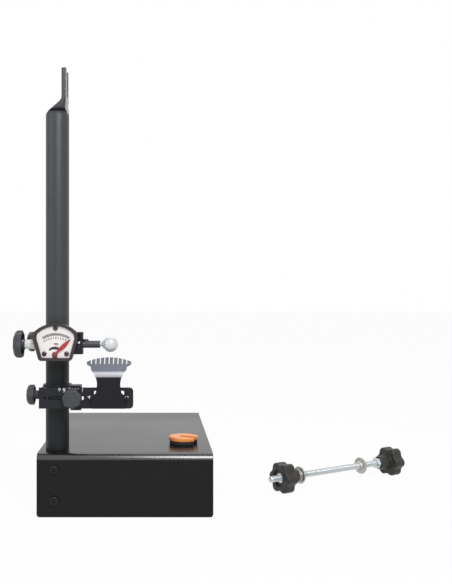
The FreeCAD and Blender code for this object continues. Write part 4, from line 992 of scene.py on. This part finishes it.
dressed("comb_plate", "comb_feeler", "comb", comb_steel, 0.35, 25)

# Hinge pin, its clip and the two springs
# A bright pin with a head holds the comb in the rail's lugs, with a ring at its far end.
# Two springs of thin steel wire, wound round the pin, bring the comb back.
low, high = reach("hinge_pin")
hinge_y = (low.y + high.y) / 2
hinge_z = (low.z + high.z) / 2
head_radius = (high.z - low.z) / 2
shaft_radius = 1.5
pin_length = high.x - low.x
pin = turned([(0, 0), (0.9, 0), (1.2, 0.3), (1.2, 1.4), (head_radius - 0.4, 1.4), (head_radius, 1.8),
              (head_radius, 2.6), (head_radius - 0.4, 3.0), (shaft_radius, 3.0),
              (shaft_radius, pin_length - 0.4), (shaft_radius - 0.4, pin_length), (0, pin_length)], 48)
set_in_place(aimed(pin, (low.x, hinge_y, hinge_z), (1, 0, 0)), "comb_hinge_pin", "rail",
             zinc_steel, ("hinge_pin",))
dressed("pin_clip", "hinge_ring", "rail", dark_tube, 0.15)

wire_radius = 0.35
coil_radius = 2.3
coil_pitch = 1.25
coil_turns = 3.5
coil_steps = 24
leg = 6.5
comb_x = (reach("comb_plate")[0].x + reach("comb_plate")[1].x) / 2
first_turn = reach("comb_springs")[0].x + wire_radius
springs = []
for side in (-1, 1):
    wire = bmesh.new()
    bmesh.ops.create_circle(wire, cap_ends=False, radius=wire_radius, segments=12)
    for axis in "XZY":
        spun(wire, 90, axis)
    moved(wire, (0, coil_radius, 0))
    start_ring = wire.edges[:]
    bmesh.ops.translate(wire, vec=(0, 0, -leg), verts=extruded(wire, start_ring)[0])
    coil = bmesh.ops.spin(wire, geom=start_ring, cent=(0, 0, 0), axis=(1, 0, 0),
                          dvec=(coil_pitch / coil_steps, 0, 0), angle=2 * math.pi * coil_turns,
                          steps=round(coil_steps * coil_turns),
                          use_merge=False, use_duplicate=False)["geom_last"]
    last_ring = [item for item in coil if item in wire.edges]
    bmesh.ops.translate(wire, vec=(0, 0, -leg), verts=extruded(wire, last_ring)[0])
    bmesh.ops.holes_fill(wire, edges=wire.edges[:], sides=12)
    bmesh.ops.remove_doubles(wire, verts=wire.verts, dist=0.001)
    bmesh.ops.scale(wire, vec=(-side, 1, 1), verts=wire.verts)
    faced(wire)
    start_x = comb_x + side * (comb_x - first_turn)
    moved(wire, (start_x, hinge_y, hinge_z))
    springs.append(wire)
set_in_place(together(*springs), "comb_torsion_springs", "rail", zinc_steel,
             ("comb_springs",), crease=60)

# Slotted washer and its pad
# A spacer for thin axles, moulded in orange plastic and slotted so that it slips over the axle.
# A rubber pad is bonded under it, so that it grips the base's top.
washer_x = 148.4
washer_y = 60.0
washer_turn = -28.0
washer_slot = 10.0
washer_edge = 0.8


def slotted_disc(radius, bottom, top, edge):
    """A disc with a slot from its middle to its rim, open towards +X before it is turned."""
    half = washer_slot / 2
    shape = bmesh.new()
    count = 16
    first = math.asin(half / radius)
    column = [first + (math.pi / 2 - first) * step / count for step in range(count + 1)]
    points = [shape.verts.new((0, radius * math.sin(turn), top)) for turn in column]
    lines = [shape.edges.new(pair) for pair in zip(points, points[1:])]
    bmesh.ops.spin(shape, geom=points + lines, cent=(0, 0, top), axis=(0, 0, 1), angle=math.pi, steps=48,
                   use_merge=False, use_duplicate=False)
    for side in (-1, 1):
        arm = [line for line in shape.edges if line.is_boundary
               and all(abs(vert.co.x) < 0.001 and vert.co.y * side > half - 0.01 for vert in line.verts)]
        for vert in extruded(shape, arm)[0]:
            vert.co.x = math.sqrt(max(0, radius ** 2 - vert.co.y ** 2))
    bmesh.ops.remove_doubles(shape, verts=shape.verts, dist=0.001)
    lower = bmesh.ops.extrude_face_region(shape, geom=shape.faces[:])["geom"]
    lower = [item for item in lower if item in shape.verts]
    bmesh.ops.translate(shape, vec=(0, 0, bottom - top), verts=lower)
    faced(shape)
    rims = [line for line in shape.edges if line.is_manifold and line.calc_face_angle() > 1
            and abs(line.verts[0].co.z - line.verts[1].co.z) < 0.001]
    rounded(shape, rims, edge, 3)
    return shape


def on_base(shape):
    """Turns a washer and sets it where it lies on the base."""
    spin = Matrix.Rotation(math.radians(washer_turn), 4, "Z")
    bmesh.ops.transform(shape, matrix=Matrix.Translation((washer_x, washer_y, 0)) @ spin, verts=shape.verts)
    return shape


# Moulded polypropylene: strong orange, slightly waxy, with light in its edges.
orange = plain_finish("orange moulded polypropylene", 7, 3.0, "F5944C", "FBA562",
                      (("IOR", 1.49), ("Roughness", 0.38), ("Subsurface Weight", 0.1),
                       ("Subsurface Scale", light_depth)))

# Nitrile rubber: dull black with a faint greyish bloom.
rubber = plain_finish("black nitrile rubber", 2, 4.0, "161616", "222221", (("Roughness", 0.72),))

low, high = reach("slotted_washer")
disc_radius = 17.5
set_in_place(on_base(slotted_disc(disc_radius, low.z, high.z, washer_edge)), "orange_washer", "washer",
             orange, ("slotted_washer",))
low, high = reach("washer_pad")
set_in_place(on_base(slotted_disc(disc_radius - washer_edge, low.z, high.z, 0.4)), "rubber_pad", "washer",
             rubber, ("washer_pad",))

# Axle rod
# A zinc plated M8 threaded rod, 221 mm long with its knobs, that stands in for a wheel's axle.
# The thread is rolled, so its crests are rounded and catch the light in a line.
axle_turn = math.radians(30)
axle_way = Vector((math.cos(axle_turn), math.sin(axle_turn), 0))
axle_start = Vector((259.0, 98.0, 18.19))
axle_radius = 4.0
rod_bore = 4.05
root_radius = 3.42
thread_pitch = 1.25
axle_length = 219.5
thread_start = 1.2
thread_steps = 28


def on_axle(shape, along):
    """Sets a piece made along +Z on the axle, at a distance from its free end."""
    lay = Matrix.Rotation(axle_turn, 4, "Z") @ Matrix.Rotation(math.pi / 2, 4, "Y")
    move = Matrix.Translation(axle_start + axle_way * along) @ lay
    bmesh.ops.transform(shape, matrix=move, verts=shape.verts)
    return shape


core = plain_bar(root_radius, axle_length, 0.5)
thread = bmesh.new()
pitches = int((axle_length - thread_start) / thread_pitch) - 2
flank = ((root_radius, 0.0), (axle_radius, 0.36), (axle_radius, 0.56), (root_radius, 0.92))
points = [thread.verts.new((radius, 0, thread_start + thread_pitch * (turn + share)))
          for turn in range(pitches) for radius, share in flank]
lines = [thread.edges.new(pair) for pair in zip(points, points[1:])]
bmesh.ops.spin(thread, geom=points + lines, cent=(0, 0, 0), axis=(0, 0, 1),
               dvec=(0, 0, thread_pitch / thread_steps), angle=2 * math.pi, steps=thread_steps,
               use_merge=False, use_duplicate=False)
bmesh.ops.remove_doubles(thread, verts=thread.verts, dist=0.01)
faced(thread)
set_in_place(on_axle(together(core, thread), 0), "threaded_rod", "axle", zinc_steel,
             ("axle_rod",), crease=50)

# Star knobs
# Two six lobed knobs of black phenolic, hot moulded and glossy where hands polish them.
# One is fixed on the rod's end, and the other runs on a steel insert along the thread.
star_diameter = 40.0
star_height = 16.0
star_lobes = 6
star_lobe = 0.325
star_valley = 0.4
star_edge = 2.2
star_dish = 11.0
hub_root = 10.0
hub_end = 8.5
insert_radius = 6.0
insert_length = 27.0
loose_knob_at = 14.0
insert_at = 16.0
fixed_knob_at = 221.0

# Moulded phenolic: warm black, half glossy, lighter along worn lobes.
phenolic = plain_finish("black moulded phenolic", 6, 4.0, "232221", "302F2D",
                        (("IOR", 1.55), ("Specular IOR Level", 0.35)), gloss=(0.34, 0.5))


def star(hub_length, bore):
    """A six lobed knob with its hub on +Z and a dished outer face on -Z."""
    knob = lobed(star_diameter, star_lobes, star_lobe, star_valley, star_height, star_edge, star_edge,
                 star_edge)
    spun(knob, 30, "Z")
    outer = [face for face in knob.faces if len(face.verts) > 20 and face.calc_center_median().z < 0.1]
    ring = list(outer[0].edges)
    bmesh.ops.delete(knob, geom=outer, context="FACES_ONLY")
    for radius, height in ((star_dish, 0), (star_dish - 0.6, 2.4), (bore + 2.0, 2.8), (bore, 2.8)):
        ring = pull_ring(knob, ring, radius, height)
    if bore < 1:
        bmesh.ops.holes_fill(knob, edges=ring, sides=0)
    faced(knob)
    top = star_height + hub_length
    hub = turned([(hub_root + 1.5, star_height - 0.6), (hub_root + 0.4, star_height + 0.5),
                  (hub_end + 0.1, top - 0.8), (hub_end - 0.7, top), (insert_radius, top),
                  (insert_radius, star_height)])
    return together(knob, hub)


loose = star(13.0, axle_radius + 0.3)
set_in_place(on_axle(loose, loose_knob_at), "loose_star_knob", "loose_knob", phenolic,
             ("loose_knob",))
insert = turned([(rod_bore, 0), (insert_radius, 0), (insert_radius, insert_length), (4.6, insert_length),
                 (rod_bore, insert_length - 0.6), (rod_bore, 0)])
set_in_place(on_axle(insert, insert_at), "knob_insert", "loose_knob", zinc_steel,
             ("loose_knob_insert",))
fixed = star(16.0, 0.5)
spun(fixed, 180, "X")
set_in_place(on_axle(fixed, fixed_knob_at), "fixed_star_knob", "axle", phenolic,
             ("fixed_knob",))

# Lock nut and cones
# A zinc plated nut locks the rod in the fixed knob's hub.
# Two turned steel cones slide on the rod and centre a wheel's bearings.
nut_flats = 13.0
nut_height = 5.0
nut_at = 184.0
near_cone_at = 48.5
far_cone_at = 156.0
cone_radius = 11.0
nut = bmesh.new()
bmesh.ops.create_circle(nut, cap_ends=True, radius=nut_flats / math.sqrt(3), segments=6)
raised = bmesh.ops.extrude_face_region(nut, geom=nut.faces[:])["geom"]
bmesh.ops.translate(nut, vec=(0, 0, nut_height), verts=[item for item in raised if item in nut.verts])
faced(nut)
nut_piece = set_in_place(on_axle(nut, nut_at), "rod_lock_nut", "axle", zinc_steel,
                         ("lock_nut",))
ease_edges(nut_piece, 0.6)

# Satin turned steel: silvery and slightly warm, softened by the tool's fine grooves.
turned_steel = plain_finish("satin turned steel", 0.9, 4.0, "A6A29D", "C6C2BD",
                            (("Metallic", 1.0),), gloss=(0.28, 0.46))

for node, along, way in (("near_cone", near_cone_at, -1), ("far_cone", far_cone_at, 1)):
    cone = turned([(rod_bore, -4.7), (4.8, -4.7), (6.2, -1.3), (10.2, -1.3), (10.8, -0.9),
                   (cone_radius, -0.3), (cone_radius, 0.3), (10.8, 0.9), (10.2, 1.3), (7.4, 1.3),
                   (7.0, 1.7), (7.0, 4.9), (6.6, 5.3), (rod_bore, 5.3), (rod_bore, -4.7)])
    if way < 0:
        spun(cone, 180, "X")
    set_in_place(on_axle(cone, along), node + "_turning", node, turned_steel, (node,))

# Floor, background, lamps and camera
# A plain white floor that keeps a soft shadow, and a white room round it.
# The camera stands level in front of the stand, as the photograph's does.
floor_glow = 0.96
floor_half = 6.0
room_light = 0.3


def seen_directly(finish):
    """One for rays from the camera and off shiny or clear things, nought for soft light."""
    path = add_node(finish, "ShaderNodeLightPath")
    seen = add_node(finish, "ShaderNodeMath", (("operation", "MAXIMUM"),),
                    ((0, path, "Is Camera Ray"), (1, path, "Is Glossy Ray")))
    return add_node(finish, "ShaderNodeMath", (("operation", "MAXIMUM"),),
                    ((0, seen, 0), (1, path, "Is Transmission Ray")))


# White studio floor: seen directly it glows almost pure white, so only a soft shadow is left.
floor_finish = new_finish("white studio floor")[0]
share = add_node(floor_finish, "ShaderNodeMath", (("operation", "MULTIPLY"), (1, floor_glow)),
                 ((0, seen_directly(floor_finish), 0),))
lit = add_node(floor_finish, "ShaderNodeBsdfDiffuse", (("Color", linear("F4F4F4")),))
glow = add_node(floor_finish, "ShaderNodeEmission", (("Color", linear("FFFFFF")), ("Strength", 1.0)))
mixed = add_node(floor_finish, "ShaderNodeMixShader", (), (("Fac", share, 0), (1, lit, 0), (2, glow, 0)))
add_node(floor_finish, "ShaderNodeOutputMaterial", (), (("Surface", mixed, 0),))

floor_mesh = bmesh.new()
bmesh.ops.create_grid(floor_mesh, x_segments=1, y_segments=1, size=floor_half)
moved(floor_mesh, (0, 3, -0.0002))
mesh = bpy.data.meshes.new("studio_floor")
floor_mesh.to_mesh(mesh)
floor_mesh.free()
mesh.materials.append(floor_finish)
floor = bpy.data.objects.new("studio_floor", mesh)
link(floor)

room = bpy.data.worlds.new("white_room")
room.use_nodes = True
room.node_tree.nodes.clear()
level = add_node(room, "ShaderNodeMapRange", (("To Min", room_light), ("To Max", 1.0)),
                 (("Value", seen_directly(room), 0),))
sky = add_node(room, "ShaderNodeBackground", (("Color", linear("FFFFFF")),),
               (("Strength", level, "Result"),))
add_node(room, "ShaderNodeOutputWorld", (), (("Surface", sky, 0),))
bpy.context.scene.world = room

lamps = (
    ("key_softbox", (0.36, -0.95, 1.1), (0.5, 0.8), 15.0),
    ("fill_softbox", (-1.2, -0.8, 0.9), (1.0, 1.0), 4.0),
    ("back_softbox", (0.1, 1.3, 1.5), (1.4, 1.4), 6.0),
)
aim = Vector((0.1, 0.1, 0.2))
for name, place, size, power in lamps:
    lamp = bpy.data.lights.new(name, "AREA")
    lamp.shape = "RECTANGLE"
    lamp.size = size[0]
    lamp.size_y = size[1]
    lamp.energy = power
    holder = bpy.data.objects.new(name, lamp)
    holder.location = place
    holder.rotation_euler = (aim - Vector(place)).to_track_quat("-Z", "Y").to_euler()
    link(holder)

eye = (0.114, -0.8615, 0.2548)
photo_height = 584
focal_pixels = 761.0
vanishing_pixel = 155.0
photo_middle = 226.0
sensor = 36.0
view = bpy.data.cameras.new("photo_camera")
view.sensor_width = sensor
view.lens = focal_pixels / photo_height * sensor
view.shift_x = (photo_middle - vanishing_pixel) / photo_height
view.clip_start = 0.05
view.clip_end = 50
camera = bpy.data.objects.new("photo_camera", view)
camera.location = eye
camera.rotation_euler = (math.pi / 2, 0, 0)
link(camera)
bpy.context.scene.camera = camera
bpy.context.scene.view_settings.view_transform = "Standard"

bpy.context.view_layer.update()
